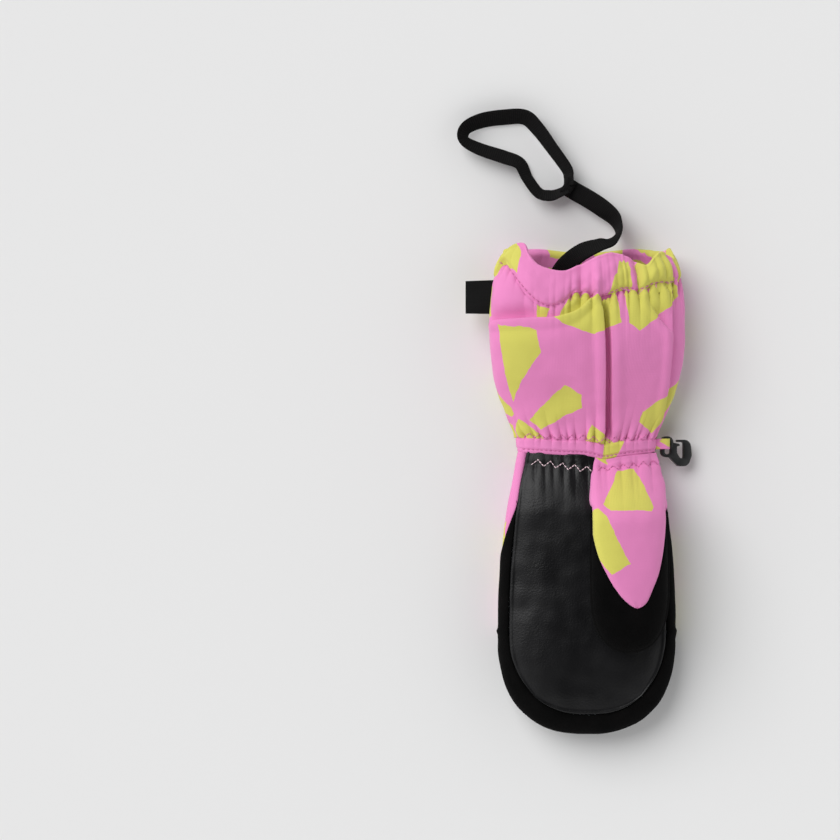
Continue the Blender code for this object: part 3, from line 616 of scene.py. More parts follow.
def makeCuff():
    c = cuffSet
    half = fineGirth[3000]
    girth = np.concatenate([np.linspace(0, half, c["frontColumns"] + 1)[:-1],
                            np.linspace(half, fineGirth[-1] - 2e-5, c["backColumns"] + 1)])
    turn = turnAt(girth)
    inside = np.array((0, 0.15, 0.02))
    stitch, rim = hemLines(turn)
    front = ease(np.sin(turn) * 2.5)[None, :]
    g = girth[None, :] * 1000
    tight = tightness(sleevePoint(turn, stitch)[:, 0] * 1000)
    stitch = stitch + 0.0016 * tight * gathers(hemRow, g[0], 0, c["hemReach"])

    def laidFlat(down):
        return np.stack([girth[None, :] + 0 * down, down], -1)

    # body of the cuff
    v = np.linspace(0, 1, c["rows"])[:, None]
    start = c["startY"] - 0.0012 + 0.0013 * crumple(sleevePoint(turn, c["startY"]), 0.008, 14)
    y = mix(start[None, :], stitch[None, :], v)
    plain = sleevePoint(turn, y)
    lift, across, along = cuffFolds(plain[..., 0] * 1000, y * 1000, g + 0 * y, front + 0 * y)
    slidTurn = turnAt(girth[None, :] - across / 1000)
    slidY = y + along / 1000
    wrinkle = 0.55 * crumple(plain, 0.016, 11) + 0.28 * crumple(plain, 0.007, 12)
    nearWrist = np.exp(-np.maximum(y * 1000 - 88.5, 0) / 6.0) * ease((y * 1000 - 87) / 2)
    wrinkle += 1.1 * crumple(plain, 0.0065, 13) * nearWrist
    outer = sleevePoint(slidTurn, slidY) + sleeveOut(slidTurn, slidY) * ((lift + wrinkle) / 1000)[..., None]
    outer = keepAbove(outer)
    inner = keepAbove(outer - gridNormals(outer, True, inside) * c["cloth"], 0.0003)
    cuff = sewSheet("cuffCloth", outer, inner, "cuffPrint", laidFlat(y))
    dress(cuff, "cuff_shell")

    # hem: up from the stitching, over the rim and back inside
    x = plain[-1, :, 0][None, :] * 1000
    roll = mix(0.0031, 0.0040, front[0] * (1 - ease((x[0] + 24) / 12)))
    leg = np.linspace(0, 1, 40)[:, None]
    legY = mix(stitch[None, :], (rim - roll)[None, :], leg)
    span = (legY - stitch[None, :]) * 1000
    puffs = sum(high * bump(x - at, wide) for at, wide, high in c["puffs"]) * front
    rows = c["hemGather"] * gathers(hemRow, g, 0 * g, c["hemReach"])
    rise = (lift[-1] - tight * (rows - c["hemDip"])) * np.exp(-span / 8.0)
    rows = c["hemGather"] * gathers(hemRow, g, span, 7.5)
    rise = rise + tight * (rows - c["hemDip"] * bump(span, 1.8))
    rise = rise - 0.7 * bump(span - 1.2, 0.9) * ease(span / 0.6)
    rise = rise + (roll[None, :] * 1000 * 0.9 + puffs) * np.sin(np.minimum(leg * 1.5, 1.0) * math.pi / 2)
    flatLegs = sleevePoint(turn, legY)
    ruck = tight * bump(x - 12, 16) * front * bump(np.maximum(span - 3, 0), 8)
    rise = rise + (1.0 * crumple(flatLegs, 0.012, 21) + 0.4 * crumple(flatLegs, 0.005, 22)) * ease(span / 6)
    rise = rise + 2.2 * ruck * crumple(flatLegs, 0.006, 23) * ease(span / 2)
    legOut = sleeveOut(turn, legY)
    legs = flatLegs + legOut * (rise / 1000)[..., None]
    legs[0] = outer[-1]
    rimOut = legOut[-1]
    rimAt = legs[-1] - rimOut * roll[:, None]
    bend = np.linspace(0, math.pi, 15)[1:, None]
    ahead = np.array((0.0, 1.0, 0.0))
    bends = (rimAt[None] + rimOut[None] * (roll[None, :] * np.cos(bend))[..., None]
             + ahead * (roll[None, :] * np.sin(bend))[..., None])
    inLeg = np.linspace(0, 1, 17)[1:, None]
    inY = (rim - roll)[None, :] - 0.016 * inLeg
    start = bends[-1] - sleevePoint(turn, rim - roll)
    ins = sleevePoint(turn, inY) + start[None] * (1 - 0.35 * inLeg[..., None])
    hem = keepAbove(np.vstack([legs, bends, ins]))
    inner = keepAbove(hem - gridNormals(hem, True, inside) * c["lining"], 0.0003)
    casing = sewSheet("hemCasing", hem, inner, "hemPrint", laidFlat(lengthAlong(hem, 0)))
    dress(casing, "hem_casing")

    # elastic between the casing's two layers
    tapeOut = legOut[c["hemTape"]]
    core = keepAbove(legs[c["hemTape"]] - tapeOut * (roll[None, :, None] * 0.85), 0.0006)
    elastic = sewSheet("hemElastic", core, core - tapeOut * 0.0009, "elastic", laidFlat(legY[c["hemTape"]]))
    dress(elastic, "hem_elastic")

    # lining, from the wrist to the casing's inner edge
    v = np.linspace(0, 1, 44)[:, None]
    liningY = mix(c["wristY"] + 0.0004, (rim - roll - 0.0155)[None, :], v)
    depth = mix(0.0036, 0.0085, ease(v * 4)) + 0 * liningY
    tube = sleevePoint(turn, liningY)
    join = ins[-1] - sleevePoint(turn, inY[-1])
    share = ease((v - 0.8) / 0.2)[..., None]
    outer = tube - sleeveOut(turn, liningY) * depth[..., None] * (1 - share) + join[None] * share
    outer = keepAbove(outer, 0.0012)
    inner = outer - gridNormals(outer, True, inside) * c["lining"]
    lining = sewSheet("cuffLining", outer, inner, "lining", laidFlat(liningY))
    dress(lining, "cuff_lining")

    # band over the wrist seam, tucked under the gathers, with its elastic
    v = np.linspace(0, 1, 24)[:, None]
    bandY = mix(c["wristY"] - 0.0006, c["startY"] + 0.0008, v) + 0 * girth[None, :]
    band = sleevePoint(turn, bandY)
    bandOut = sleeveOut(turn, bandY)
    rise = 1.0 * np.sin(np.minimum(v * 3.0, 1) * math.pi / 2) - 1.5 * ease((v - 0.72) / 0.28)
    rise = rise + 1.2 * gathers(wristRow, g, np.maximum(87.5 - bandY * 1000, 0), 4.0)
    rise = rise - 0.45 * bump((v - 0.22) * 9.0, 0.5) + 0.25 * crumple(band, 0.006, 31)
    outer = keepAbove(band + bandOut * (rise / 1000)[..., None])
    strip = sewSheet("wristBand", outer, outer - bandOut * c["band"], "bandPrint", laidFlat(bandY))
    dress(strip, "wrist_band")
    tapeOut = bandOut[c["wristTape"]]
    core = band[c["wristTape"]] - tapeOut * 0.0023
    tape = sewSheet("wristElastic", core, core - tapeOut * 0.0010, "elastic", laidFlat(bandY[c["wristTape"]]))
    dress(tape, "wrist_elastic")
    print("cuff gathered")
    return cuff, casing, strip


# hand: the same rounded pocket as the solids, at cloth resolution

handSet = {
    "rootY": 0.0795, "widestY": -0.0225, "tipY": -0.0795,
    "rootHalf": 0.03875, "half": 0.0505, "centreX": 0.0, "rise": 0.034,
}
thumbSet = {
    "rootY": 0.07915, "widestY": 0.00515, "tipY": -0.03085,
    "rootHalf": 0.0195, "half": 0.0218, "centreX": 0.0228,
    "tilt": 0.0045, "crotchY": 0.0504, "skirtEase": 0.008, "rise": 0.038, "cloth": 0.0008,
}
seamGap = math.radians(0.25)


def handSection(y):
    # middle, rise above it, depth below it and sideways tilt
    return *between("wrist", "hand", ease((handSet["rootY"] - y) / handSet["rise"])), 0.0


def thumbSection(y):
    t = ease((thumbSet["rootY"] - y) / thumbSet["rise"])
    return *between("thumbRoot", "thumb", t), thumbSet["tilt"]


def rootShare(form, y):
    # 0 at the pocket's widest place, 1 at its root
    return np.clip((y - form["widestY"]) / (form["rootY"] - form["widestY"]), 0, 1)


def halfWidth(form, share):
    return mix(form["half"], form["rootHalf"], share ** taper)


def pocketPoint(form, section, s, angle, depth):
    # s runs from the left root (-1) round the tip (0) to the right root (1)
    s, angle = np.broadcast_arrays(np.asarray(s, float), np.asarray(angle, float))
    reach = np.abs(s)
    side = sideShare(s)
    spineY = mix(form["widestY"], form["rootY"], side)
    turn = np.clip(reach / tipShare, 0, 1) * math.pi / 2
    length = form["widestY"] - form["tipY"]
    edgeX = (halfWidth(form, side) - depth) * np.sin(turn) ** (2 / tipSquare)
    edgeY = -(length - depth) * np.abs(np.cos(turn)) ** (2 / tipSquare)
    edgeY = np.where(reach >= tipShare, 0.0, edgeY)
    out = np.abs(np.cos(angle)) ** (2 / profile)
    lift = signedPower(np.sin(angle), 2 / profile)
    x = np.sign(s) * edgeX * out
    middle, up, down, tilt = section(spineY)
    z = middle - tilt * x / form["half"] + lift * (np.where(lift > 0, up, down) - depth)
    z = np.maximum(z, depth)
    y = spineY + edgeY * out
    if form is thumbSet:
        # near its root the thumb comes straight down to the hand's opening
        handMiddle, handUp, handDown, none = handSection(spineY)
        rim = np.where(s > 0, handMiddle + 0.001, handMiddle + handUp)
        share = np.where(angle > 0, 0.0, ease((spineY - form["crotchY"]) / form["skirtEase"]))
        wallX = np.sign(s) * edgeX
        wallZ = mix(middle - tilt * wallX / form["half"], rim, -angle / (math.pi / 2))
        x, y, z = mix(x, wallX, share), mix(y, spineY, share), mix(z, wallZ, share)
    return np.stack([form["centreX"] + x, y, z], -1)


def topPatch(form, section, seam, columns, sideRows, tipRows):
    # an even grid over a pocket's upper side, inside a seam given as an angle for each s
    a = np.linspace(-1, 1, columns)[None, :]
    share = np.linspace(1, 0, sideRows + 1)[:-1, None]
    s = np.sign(a + 1e-9) * (tipShare + (1 - tipShare) * share)
    out = np.abs(a) * np.cos(seam(s)) ** (2 / profile)
    sideX = np.sign(a) * halfWidth(form, share) * out
    sideY = mix(form["widestY"], form["rootY"], share) + 0 * a
    c = -np.linspace(0, 1, tipRows)[:, None]
    discX = a * np.sqrt(1 - c * c / 2)
    discY = c * np.sqrt(1 - a * a / 2)
    radius = np.maximum(np.hypot(discX, discY), 1e-9)
    turn = np.arctan2(np.abs(discX), np.abs(discY))
    tipS = np.sign(a + 1e-9) * tipShare * turn / (math.pi / 2)
    tipOut = radius * np.cos(seam(tipS)) ** (2 / profile)
    tipX = np.sign(discX) * form["half"] * np.sin(turn) ** (2 / tipSquare) * tipOut
    length = form["widestY"] - form["tipY"]
    tipY = form["widestY"] - length * np.cos(turn) ** (2 / tipSquare) * tipOut
    x, y = np.vstack([sideX, tipX]), np.vstack([sideY, tipY])
    out = np.vstack([out, tipOut])
    spine = np.vstack([sideY, form["widestY"] + 0 * tipY])
    middle, up, down, tilt = section(spine)
    z = middle - tilt * x / form["half"] + up * dome(out)
    return np.stack([form["centreX"] + x, y, z], -1)


def palmSeam(s):
    return mix(math.radians(29), math.radians(40), ease((0.54 - np.abs(s)) / 0.30))


def sideShare(s):
    return np.clip((np.abs(s) - tipShare) / (1 - tipShare), 0, 1)


def backSeam(s):
    low = math.radians(-8)
    left = mix(low, palmSeam(s), ease((sideShare(s) - 0.34) / 0.41))
    right = mix(low, math.radians(-3), ease((sideShare(s) - 5 / 7) * 4))
    return np.where(s > 0, right, left)


palmSet = {
    "cloth": 0.0009,
    "edgeRidge": 0.0008, "ridgeAt": 0.0015,
    "pucker": 0.0017, "puckerY": 0.0725, "puckerReach": 6.5,
}


def makePalm():
    points = topPatch(handSet, handSection, palmSeam, 121, 110, 70)
    normals = gridNormals(points, False, Vector((0, 0, -1)))
    x, y = points[..., 0], points[..., 1]
    edge = nearest(points, points[:, :1], points[:, -1:], points[-1:])
    lift = palmSet["edgeRidge"] * bump(edge - palmSet["ridgeAt"], 0.0009) - 0.0007 * bump(edge, 0.0007)
    # gathers below the zigzag, deepest at the wrist
    below = np.maximum(palmSet["puckerY"] - y, 0) * 1000
    rows = gathers(palmRow, (x + 0.05) * 1000, below, palmSet["puckerReach"])
    lift += palmSet["pucker"] * (rows - 0.1) * mix(1.0, 0.2, ease((y - palmSet["puckerY"]) / 0.004))
    lift -= 0.0005 * bump(y - palmSet["puckerY"] - 0.0006, 0.0012)
    # hollow of the palm, and the creases that the thumb pulls towards its root
    lift -= 0.0011 * bump(np.hypot((x + 0.022) / 0.016, (y - 0.022) / 0.030), 1.0)
    lift += 0.0009 * bump(np.hypot((x + 0.030) / 0.010, (y - 0.058) / 0.012), 1.0)
    lift += 0.0007 * crumple(points, 0.024, 1) + 0.00035 * crumple(points, 0.009, 2)
    under = ease((x + 0.002) / 0.006) * ease((y + 0.036) / 0.008)
    lift = mix(lift, np.minimum(lift, -0.0002), under * (edge > 0.004))
    outer = points + normals * lift[..., None]
    keep = ~((x[:-1, :-1] > 0.0075) & (y[:-1, :-1] > 0.0545))
    palm = sewSheet("palmLeather", outer, outer - normals * palmSet["cloth"], "leather", keep=keep)
    dress(palm, "palm_panel")
    return palm


def pocketSheet(name, node, finish, s, low, high, rows, edgeDip, thickness, extra=None):
    # a strip of the hand's shell between two seam angles, its edges drawn into the seams
    t = np.linspace(0, 1, rows)[:, None]
    angle = mix(low(s), high(s), t)
    points = pocketPoint(handSet, handSection, s, angle, 0.0)
    normals = gridNormals(points, False, np.array((0, 0.0, 0.015)))
    edge = nearest(points, points[:1], points[-1:])
    lift = 0.0003 - edgeDip * bump(edge, 0.0011)
    lift += 0.00035 * crumple(points, 0.011, 5)
    if extra is not None:
        lift += extra(points)
    outer = keepAbove(points + normals * lift[..., None])
    inner = keepAbove(points + normals * (lift - thickness)[..., None], thickness * 0.6)
    flat = np.stack([s[None, :] * 0.23 + 0 * t, lengthAlong(points, 0)], -1)
    made = sewSheet(name, outer, inner, finish, flat)
    dress(made, node)
    return made


def makeHand():
    def capStep(points):
        # the cap's folded seam stands a little proud of the sides
        return 0.0010 * bump(points[..., 1] + 0.0212, 0.0016)

    s = np.linspace(-mix(tipShare, 1, 0.745), mix(tipShare, 1, 5 / 7), 200)
    pocketSheet("sideGusset", "side_gusset", "suede", s, backSeam, lambda s: palmSeam(s) - seamGap,
                16, 0.0006, 0.0009, capStep)
    s = np.linspace(-tipShare, tipShare, 140)
    pocketSheet("fingertipCap", "fingertip_cap", "suede", s, lambda s: 0 * s - math.pi / 2 + 1e-4,
                lambda s: backSeam(s) - seamGap, 22, 0.0006, 0.0009, capStep)

    u = np.linspace(-1, 1, 90)[None, :]
    v = np.linspace(0, 1, 90)[:, None]
    s = np.sign(u) * mix(tipShare + 0.001, 1.0, v)
    points = pocketPoint(handSet, handSection, s, mix(-math.pi / 2, backSeam(s) - seamGap, np.abs(u)), 0.0)
    normals = gridNormals(points, False, np.array((0, 0.02, 0.015)))
    edge = nearest(points, points[:, :1], points[:, -1:])
    around = lengthAlong(points, 1)
    lift = -0.0005 * bump(edge, 0.0011) + 0.0004 * crumple(points, 0.014, 8)
    lift += 0.0016 * gathers(palmRow, around * 1000, (handSet["rootY"] - points[..., 1]) * 1000, 10.0)
    outer = keepAbove(points + normals * lift[..., None])
    inner = keepAbove(points + normals * (lift - palmSet["cloth"])[..., None], 0.0006)
    flat = np.stack([around - around[:, 44:45], points[..., 1]], -1)
    back = sewSheet("backCloth", outer, inner, "backPrint", flat)
    dress(back, "back_panel")
    print("hand sewn")


# layers inside the hand and the thumb, seen only down the cuff

layerSet = [
    # name, node, finish, slot, depth outside, depth inside, share that thins at the wrist
    ("membraneBag", "membrane_insert", "membrane", "membrane", 0.0021, 0.0026, 0.0),
    ("backPad", "back_wadding", "wadding", "wadding", 0.00295, 0.00295, 0.0054),
    ("palmPad", "palm_wadding", "wadding", "wadding", 0.00295, 0.00295, 0.0054),
    ("handBag", "hand_lining", "fleece", "fleece", 0.0033, 0.0042, 0.0058),
]


def turnsWithThumb(made):
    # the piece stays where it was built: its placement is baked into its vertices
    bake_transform(made)


def makeLayers():
    s = np.linspace(-1, 1, 113)
    spine = mix(handSet["widestY"], handSet["rootY"], sideShare(s))
    fill = mix(0.16, 1.0, ease((handSet["rootY"] - spine) / 0.040))
    for name, node, finish, slot, outside, inside, thin in layerSet:
        low = 0.02 if name == "palmPad" else -math.pi / 2
        high = -0.02 if name == "backPad" else math.pi / 2
        angle = np.linspace(low, high, 21)[:, None]
        bagThin = thin * fill if name == "handBag" else 0.0
        outer = pocketPoint(handSet, handSection, s, angle, outside + bagThin)
        inner = pocketPoint(handSet, handSection, s, angle, inside + thin * fill)
        hole = (s[:-1] > 0) & (sideShare(s[:-1]) > 5 / 7 - 0.01)
        keep = ~(hole[None, :] & (angle[:-1] >= -0.01))
        made = sewSheet(name, outer, inner, finish, keep=keep)
        dress(made, node)

    s = np.linspace(-1, 1, 97)
    angle = np.linspace(-math.pi / 2, math.pi / 2, 21)[:, None]
    spine = mix(thumbSet["widestY"], thumbSet["rootY"], sideShare(s))
    thick = 0.0012 * mix(0.3, 1.0, ease((thumbSet["rootY"] - spine) / thumbSet["rise"]))
    for name, node, finish, slot, outside, inside in (
            ("thumbPad", "thumb_wadding", "wadding", "wadding", 0.0031, 0.0031 + thick),
            ("thumbBag", "thumb_lining", "fleece", "fleece", 0.00345 + thick, 0.00425 + thick)):
        outer = pocketPoint(thumbSet, thumbSection, s, angle, outside)
        inner = pocketPoint(thumbSet, thumbSection, s, angle, inside)
        keep = ~((sideShare(s[:-1])[None, :] > 0.49) & (angle[:-1] < 0.01))
        made = sewSheet(name, outer, inner, finish, keep=keep)
        turnsWithThumb(made)
        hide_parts(node)
    print("inner layers ready")


# thumb

leafSet = {
    # outline of the printed leaf in plan, millimetres, from the root to the tip on each side
    "left": [(3.2, 79.15), (1.1, 65), (1.0, 50), (1.3, 36.6), (3.6, 25.3), (9.3, 12.7), (16.2, 1.8),
             (23.1, -4.7), (26.4, -5.9)],
    "right": [(39.4, 79.15), (40.9, 73), (42.9, 65), (43.8, 55.8), (43.9, 44.6), (43.4, 36.7),
              (41.9, 25.3), (39.7, 15), (35.6, 4.6), (31.6, -3.3), (26.4, -5.9)],
    "tip": -0.0059, "pillow": 0.0010,
}


def leafEdges(y):
    # both edges of the leaf at a place along the thumb, metres
    whole = thumbSet["rootY"] - leafSet["tip"]
    q = np.sqrt(np.clip((y - leafSet["tip"]) / whole, 0, 1))
    edges = []
    for side in ("left", "right"):
        knots = [(math.sqrt(max(py / 1000 - leafSet["tip"], 0) / whole), px / 1000)
                 for px, py in leafSet[side]]
        edges.append(through(knots[::-1], q))
    half = 0.992 * thumbWidth(y)
    return np.maximum(edges[0], thumbSet["centreX"] - half), np.minimum(edges[1], thumbSet["centreX"] + half)


def thumbWidth(y):
    f = thumbSet
    ahead = np.clip((f["widestY"] - y) / (f["widestY"] - f["tipY"]), 0, 1)
    return halfWidth(f, rootShare(f, y)) * (1 - ahead ** tipSquare) ** (1 / tipSquare)


def thumbTopAt(x, y):
    # height of the thumb's upper side
    f = thumbSet
    spine = np.maximum(y, f["widestY"])
    wide = halfWidth(f, rootShare(f, spine))
    ahead = np.clip((f["widestY"] - y) / (f["widestY"] - f["tipY"]), 0, 1)
    out = (np.abs((x - f["centreX"]) / wide) ** tipSquare + ahead ** tipSquare) ** (1 / tipSquare)
    middle, up, down, tilt = thumbSection(spine)
    return middle - tilt * (x - f["centreX"]) / f["half"] + up * dome(out)


def makeThumb():
    f = thumbSet
    rows, columns, strip = 150, 81, 15
    u = np.linspace(1, 0, rows)[:, None]
    y = mix(leafSet["tip"], f["rootY"], u ** 1.5)
    left, right = leafEdges(y)
    a = np.linspace(0, 1, columns)[None, :]
    a = mix(a, ease(a), 0.5)
    x = mix(left, right, a)
    y = y + 0 * x
    leaf = np.stack([x, y, thumbTopAt(x, y)], -1)
    # beside the root, the cloth goes straight down to the hand
    reach = ease((y[:, :1] - f["crotchY"] + 0.0014) / 0.0008)
    share = np.linspace(0, 1, strip)[None, 1:]
    handMiddle, handUp, handDown, none = handSection(y[:, :1])
    handSide = halfWidth(handSet, rootShare(handSet, y[:, :1]))
    lap = mix(0.0034, 0.0010, ease((y[:, :1] - 0.064) / 0.008))
    walls = []
    for sign, edge, foot in ((-1, leaf[:, :1], handMiddle + handUp - 0.0006),
                             (1, leaf[:, -1:], handMiddle - lap)):
        wide = f["centreX"] + sign * thumbWidth(y[:, :1])
        if sign > 0:
            wide = np.minimum(wide, edge[..., 0] + 0.0002)
        wall = np.repeat(edge, strip - 1, axis=1)
        side = mix(wall[..., 0], wide, np.minimum(share * 5, 1))
        height = mix(wall[..., 2], foot, share)
        if sign > 0:
            # it laps over the hand's own side
            above = height - handMiddle
            off = np.abs(above) / np.where(above > 0, handUp, handDown)
            side = np.maximum(side, handSide * dome(off) + lap * 0.4 - 0.0012)
        wall[..., 0] = mix(wall[..., 0], side, reach)
        wall[..., 2] = mix(wall[..., 2], height, reach)
        walls.append(wall if sign > 0 else wall[:, ::-1])
    points = np.concatenate([walls[0], leaf, walls[1]], axis=1)
    inner = strip - 1
    normals = gridNormals(leaf, False, np.array((0.02, 0.02, -1.0)))
    sides = np.zeros_like(points)
    sides[:, :inner, 0], sides[:, -inner:, 0] = -1, 1
    sides[:, inner:-inner] = normals
    normals = sides
    x, y = points[..., 0], points[..., 1]
    edge = np.zeros(points.shape[:2])
    edge[:, inner:-inner] = np.minimum(np.minimum(x[:, inner:-inner] - left, right - x[:, inner:-inner]),
                                       np.linalg.norm(leaf - leaf[-1:], axis=-1))
    edge = np.maximum(edge, (y - f["crotchY"]) * 0.6)
    edge[:, -inner:] = np.maximum(edge[:, -inner:], (y[:, -inner:] - f["crotchY"] + 0.003) * 0.6)
    lift = leafSet["pillow"] * (1 - 1.5 * np.exp(-np.maximum(edge, 0) / 0.0014))
    lift *= 1 - 0.9 * ease((y - 0.062) / 0.008) * ease((x - 0.034) / 0.006)      # room for the hook to swing
    rows = gathers(thumbRow, (x + 0.02) * 1000, np.maximum(73.0 - y * 1000, 0), 9.0)
    lift += 0.0016 * rows * mix(1.0, 0.3, ease((y - 0.0735) / 0.004))
    lift += (0.0006 * crumple(points, 0.018, 3) + 0.00025 * crumple(points, 0.007, 6)) * ease(edge / 0.006)
    lift -= 0.0012 * bump(np.hypot((x - 0.010) / 0.005, (y - 0.055) / 0.014), 1.0)
    lift += 0.0008 * bump(np.hypot((x - 0.004) / 0.004, (y - 0.050) / 0.014), 1.0)
    lift -= 0.0009 * bump(y - 0.0732, 0.0012) * ease((x - 0.004) / 0.004)
    outer = points + normals * lift[..., None]
    across = lengthAlong(points, 1)
    flat = np.stack([across - across[:, 54:55], y], -1)
    top = sewSheet("thumbCloth", outer, outer - normals * f["cloth"], "thumbPrint", flat)
    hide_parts("thumb_top")
    turnsWithThumb(top)

    # underside: from below, up round the outline to the leaf's edge
    s = np.concatenate([np.linspace(-0.84, -0.3, 70), np.linspace(-0.3, 0.3, 60)[1:-1],
                        np.linspace(0.3, 0.84, 70)])
    tries = np.linspace(-0.02, math.pi / 2, 400)[:, None]
    trial = pocketPoint(f, thumbSection, s, tries, 0.0)
    low, high = leafEdges(trial[..., 1])
    covered = (trial[..., 0] > low) & (trial[..., 0] < high) & (trial[..., 1] > leafSet["tip"])
    reached = tries[np.argmax(covered, axis=0), 0] - seamGap
    t = np.linspace(0, 1, 44)[:, None]
    upper = mix(0.0, np.maximum(reached, 0.01), (t - 0.4) / 0.6)
    angle = np.where(t < 0.4, mix(-math.pi / 2, 0.0, t / 0.4), upper)
    points = pocketPoint(f, thumbSection, s, angle, 0.0)
    normals = gridNormals(points, False, np.array((0.0228, 0.02, 0.038)))
    around = lengthAlong(points, 0)
    rib = around - around[19:20]
    away = around[-1:] - around
    lift = 0.0010 * bump(rib, 0.0007) * ease(away / 0.003) - 0.0006 * bump(away, 0.0010)
    lift += 0.0004 * crumple(points, 0.012, 4) * ease((angle + 0.3) / 0.3)
    lift -= 0.0016 * ease((s[None, :] - 0.785) / 0.02)       # its end lies under the root's cloth
    outer = points + normals * lift[..., None]
    under = sewSheet("thumbSuede", outer, outer - normals * f["cloth"], "suede")
    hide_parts("thumb_under")
    turnsWithThumb(under)
    print("thumb sewn")
    return top


# trim: label, tab, hook and leash

labelSet = {
    "lowY": 0.1602, "highY": 0.1788, "sewnIn": 0.002, "droop": 0.0042, "wave": 0.0006, "halfThick": 0.0005,
}


def makeLabel():
    # a plain woven tab, folded and sewn into the cuff's side seam
    u = np.linspace(0, 1, 26)[:, None]
    v = np.linspace(0, 1, 36)[None, :]
    y = mix(labelSet["lowY"], labelSet["highY"], v) + 0.0009 * (1 - u) * (v - 0.5)
    low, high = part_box("side_label")
    root = high.x + labelSet["sewnIn"]
    x = root - u * (root - low.x) + 0 * v
    z = high.z - 0.0008 - labelSet["droop"] * u ** 1.6 + labelSet["wave"] * np.sin(v * 4.0 + u * 2)
    points = np.stack([x, y, z], -1)
    edges = np.sqrt(np.clip(1 - (2 * v - 1) ** 10, 0.05, 1)) * np.sqrt(np.clip(1 - u ** 8, 0.05, 1))
    half = labelSet["halfThick"] * edges
    up = np.zeros_like(points)
    up[..., 2] = half
    label = sewSheet("sideLabel", points + up, points - up, "label", np.stack([y, x], -1))
    dress(label, "side_label")


tabSet = {"sewnIn": 0.0022, "leg": 0.32, "pinch": 0.25, "puff": 0.0002, "cloth": 0.0007, "steps": 60}


def makeTab():
    # a strip of shell cloth folded round the hook's bar
    low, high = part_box("clip_tab")
    middle = (low.z + high.z) / 2
    outer = (high.z - low.z) / 2
    bend = high.x - outer
    root = low.x - tabSet["sewnIn"]
    t = np.linspace(0, 1, tabSet["steps"])
    x, z = np.zeros(tabSet["steps"]), np.zeros(tabSet["steps"])
    leg = tabSet["leg"]
    first, last = t < leg, t > 1 - leg
    x[first], z[first] = mix(root, bend, t[first] / leg), outer
    x[last], z[last] = mix(root, bend, (1 - t[last]) / leg), -outer
    fold = ~(first | last)
    a = math.pi * (t[fold] - leg) / (1 - 2 * leg)
    x[fold], z[fold] = bend + outer * np.sin(a), outer * np.cos(a)
    pinch = 1 - tabSet["pinch"] * ease((bend - x) / (bend - root))
    v = np.linspace(-1, 1, 14)[None, :]
    width = (high.y - low.y) / 2
    puff = tabSet["puff"] * (1 - v ** 4)
    points = np.stack([x[:, None] + 0 * v, (low.y + high.y) / 2 + v * width + 0 * x[:, None],
                       middle + (z * pinch)[:, None] * (1 + puff / outer)], -1)
    normals = gridNormals(points, False, np.array((bend, (low.y + high.y) / 2, middle)))
    tab = sewSheet("clipTab", points, points - normals * tabSet["cloth"], "bandPrint",
                   np.stack([t[:, None] * 0.03 + 0 * v, 0.01 * v + 0 * t[:, None]], -1))
    dress(tab, "clip_tab")


hookSet = {"weld": 1e-5, "rounding": 0.0006, "segments": 3, "sharpAbove": 50}


def finishHook():
    # the solid's own shape, with the mould's rounded edges
    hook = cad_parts["clip_hook"]
    hook.data.materials.clear()
    hook.data.materials.append(finishes["plastic"])
    weld = hook.modifiers.new("weld", "WELD")
    weld.merge_threshold = hookSet["weld"]
    edge = hook.modifiers.new("edge", "BEVEL")
    edge.width = hookSet["rounding"]
    edge.segments = hookSet["segments"]
    edge.limit_method = "ANGLE"
    edge.angle_limit = math.radians(hookSet["sharpAbove"])
    edge.harden_normals = False
    for face in hook.data.polygons:
        face.use_smooth = True


leashSet = {
    "width": 0.0105, "thick": 0.0013, "clear": 0.00035,
    "leash_bartack": (0.0062, 0.0092, 0.0044), "leash_anchor": (0.0125, 0.010, 0.0012), "bartackTurn": -32,
    "strap": [(-0.0225, 0.1560, 0.0060), (-0.0190, 0.1720, 0.0068), (-0.0140, 0.1855, 0.0130),
              (-0.0040, 0.1945, 0.0205), (0.0065, 0.1990, 0.0225), (0.0140, 0.2020, 0.0190),
              (0.0185, 0.2080, 0.0130), (0.0165, 0.2150, 0.0085), (0.0090, 0.2215, 0.0062),
              (0.0015, 0.2265, 0.0052), (-0.0065, 0.2311, 0.0048), (-0.0112, 0.2340, 0.0048)],
    "strapLean": [(0.9, -0.3, 0.0), (0.9, -0.3, 0.0), (0.75, -0.6, 0.1), (0.45, -0.8, 0.3), (0.1, -0.7, 0.7),
                  (0.0, -0.4, 0.9), (0.2, 0.1, 0.95), (0.5, 0.4, 0.7), (0.6, 0.7, 0.3), (0.55, 0.8, 0.15),
                  (0.5, 0.85, 0.1), (0.5, 0.85, 0.1)],
    "loop": [(-0.0098, 0.2340, 0.0052), (-0.0098, 0.2390, 0.0050), (-0.0110, 0.2440, 0.0048),
             (-0.0195, 0.2560, 0.0046), (-0.0275, 0.2668, 0.0046), (-0.0350, 0.2735, 0.0046),
             (-0.0470, 0.2735, 0.0046), (-0.0600, 0.2715, 0.0046), (-0.0690, 0.2670, 0.0046),
             (-0.0700, 0.2605, 0.0046), (-0.0615, 0.2555, 0.0046), (-0.0475, 0.2508, 0.0046),
             (-0.0380, 0.2470, 0.0046), (-0.0335, 0.2385, 0.0046), (-0.0270, 0.2300, 0.0046),
             (-0.0205, 0.2285, 0.0047), (-0.0158, 0.2297, 0.0050), (-0.0105, 0.2322, 0.0052)],
    "loopLean": [0.5, 0.5, 0.6, 0.7, 0.9, 1.1, 1.2, 1.1, 0.8, 0.7, 1.0, 1.2, 1.0, 0.8, 0.8, 0.8, 0.6, 0.5],
}


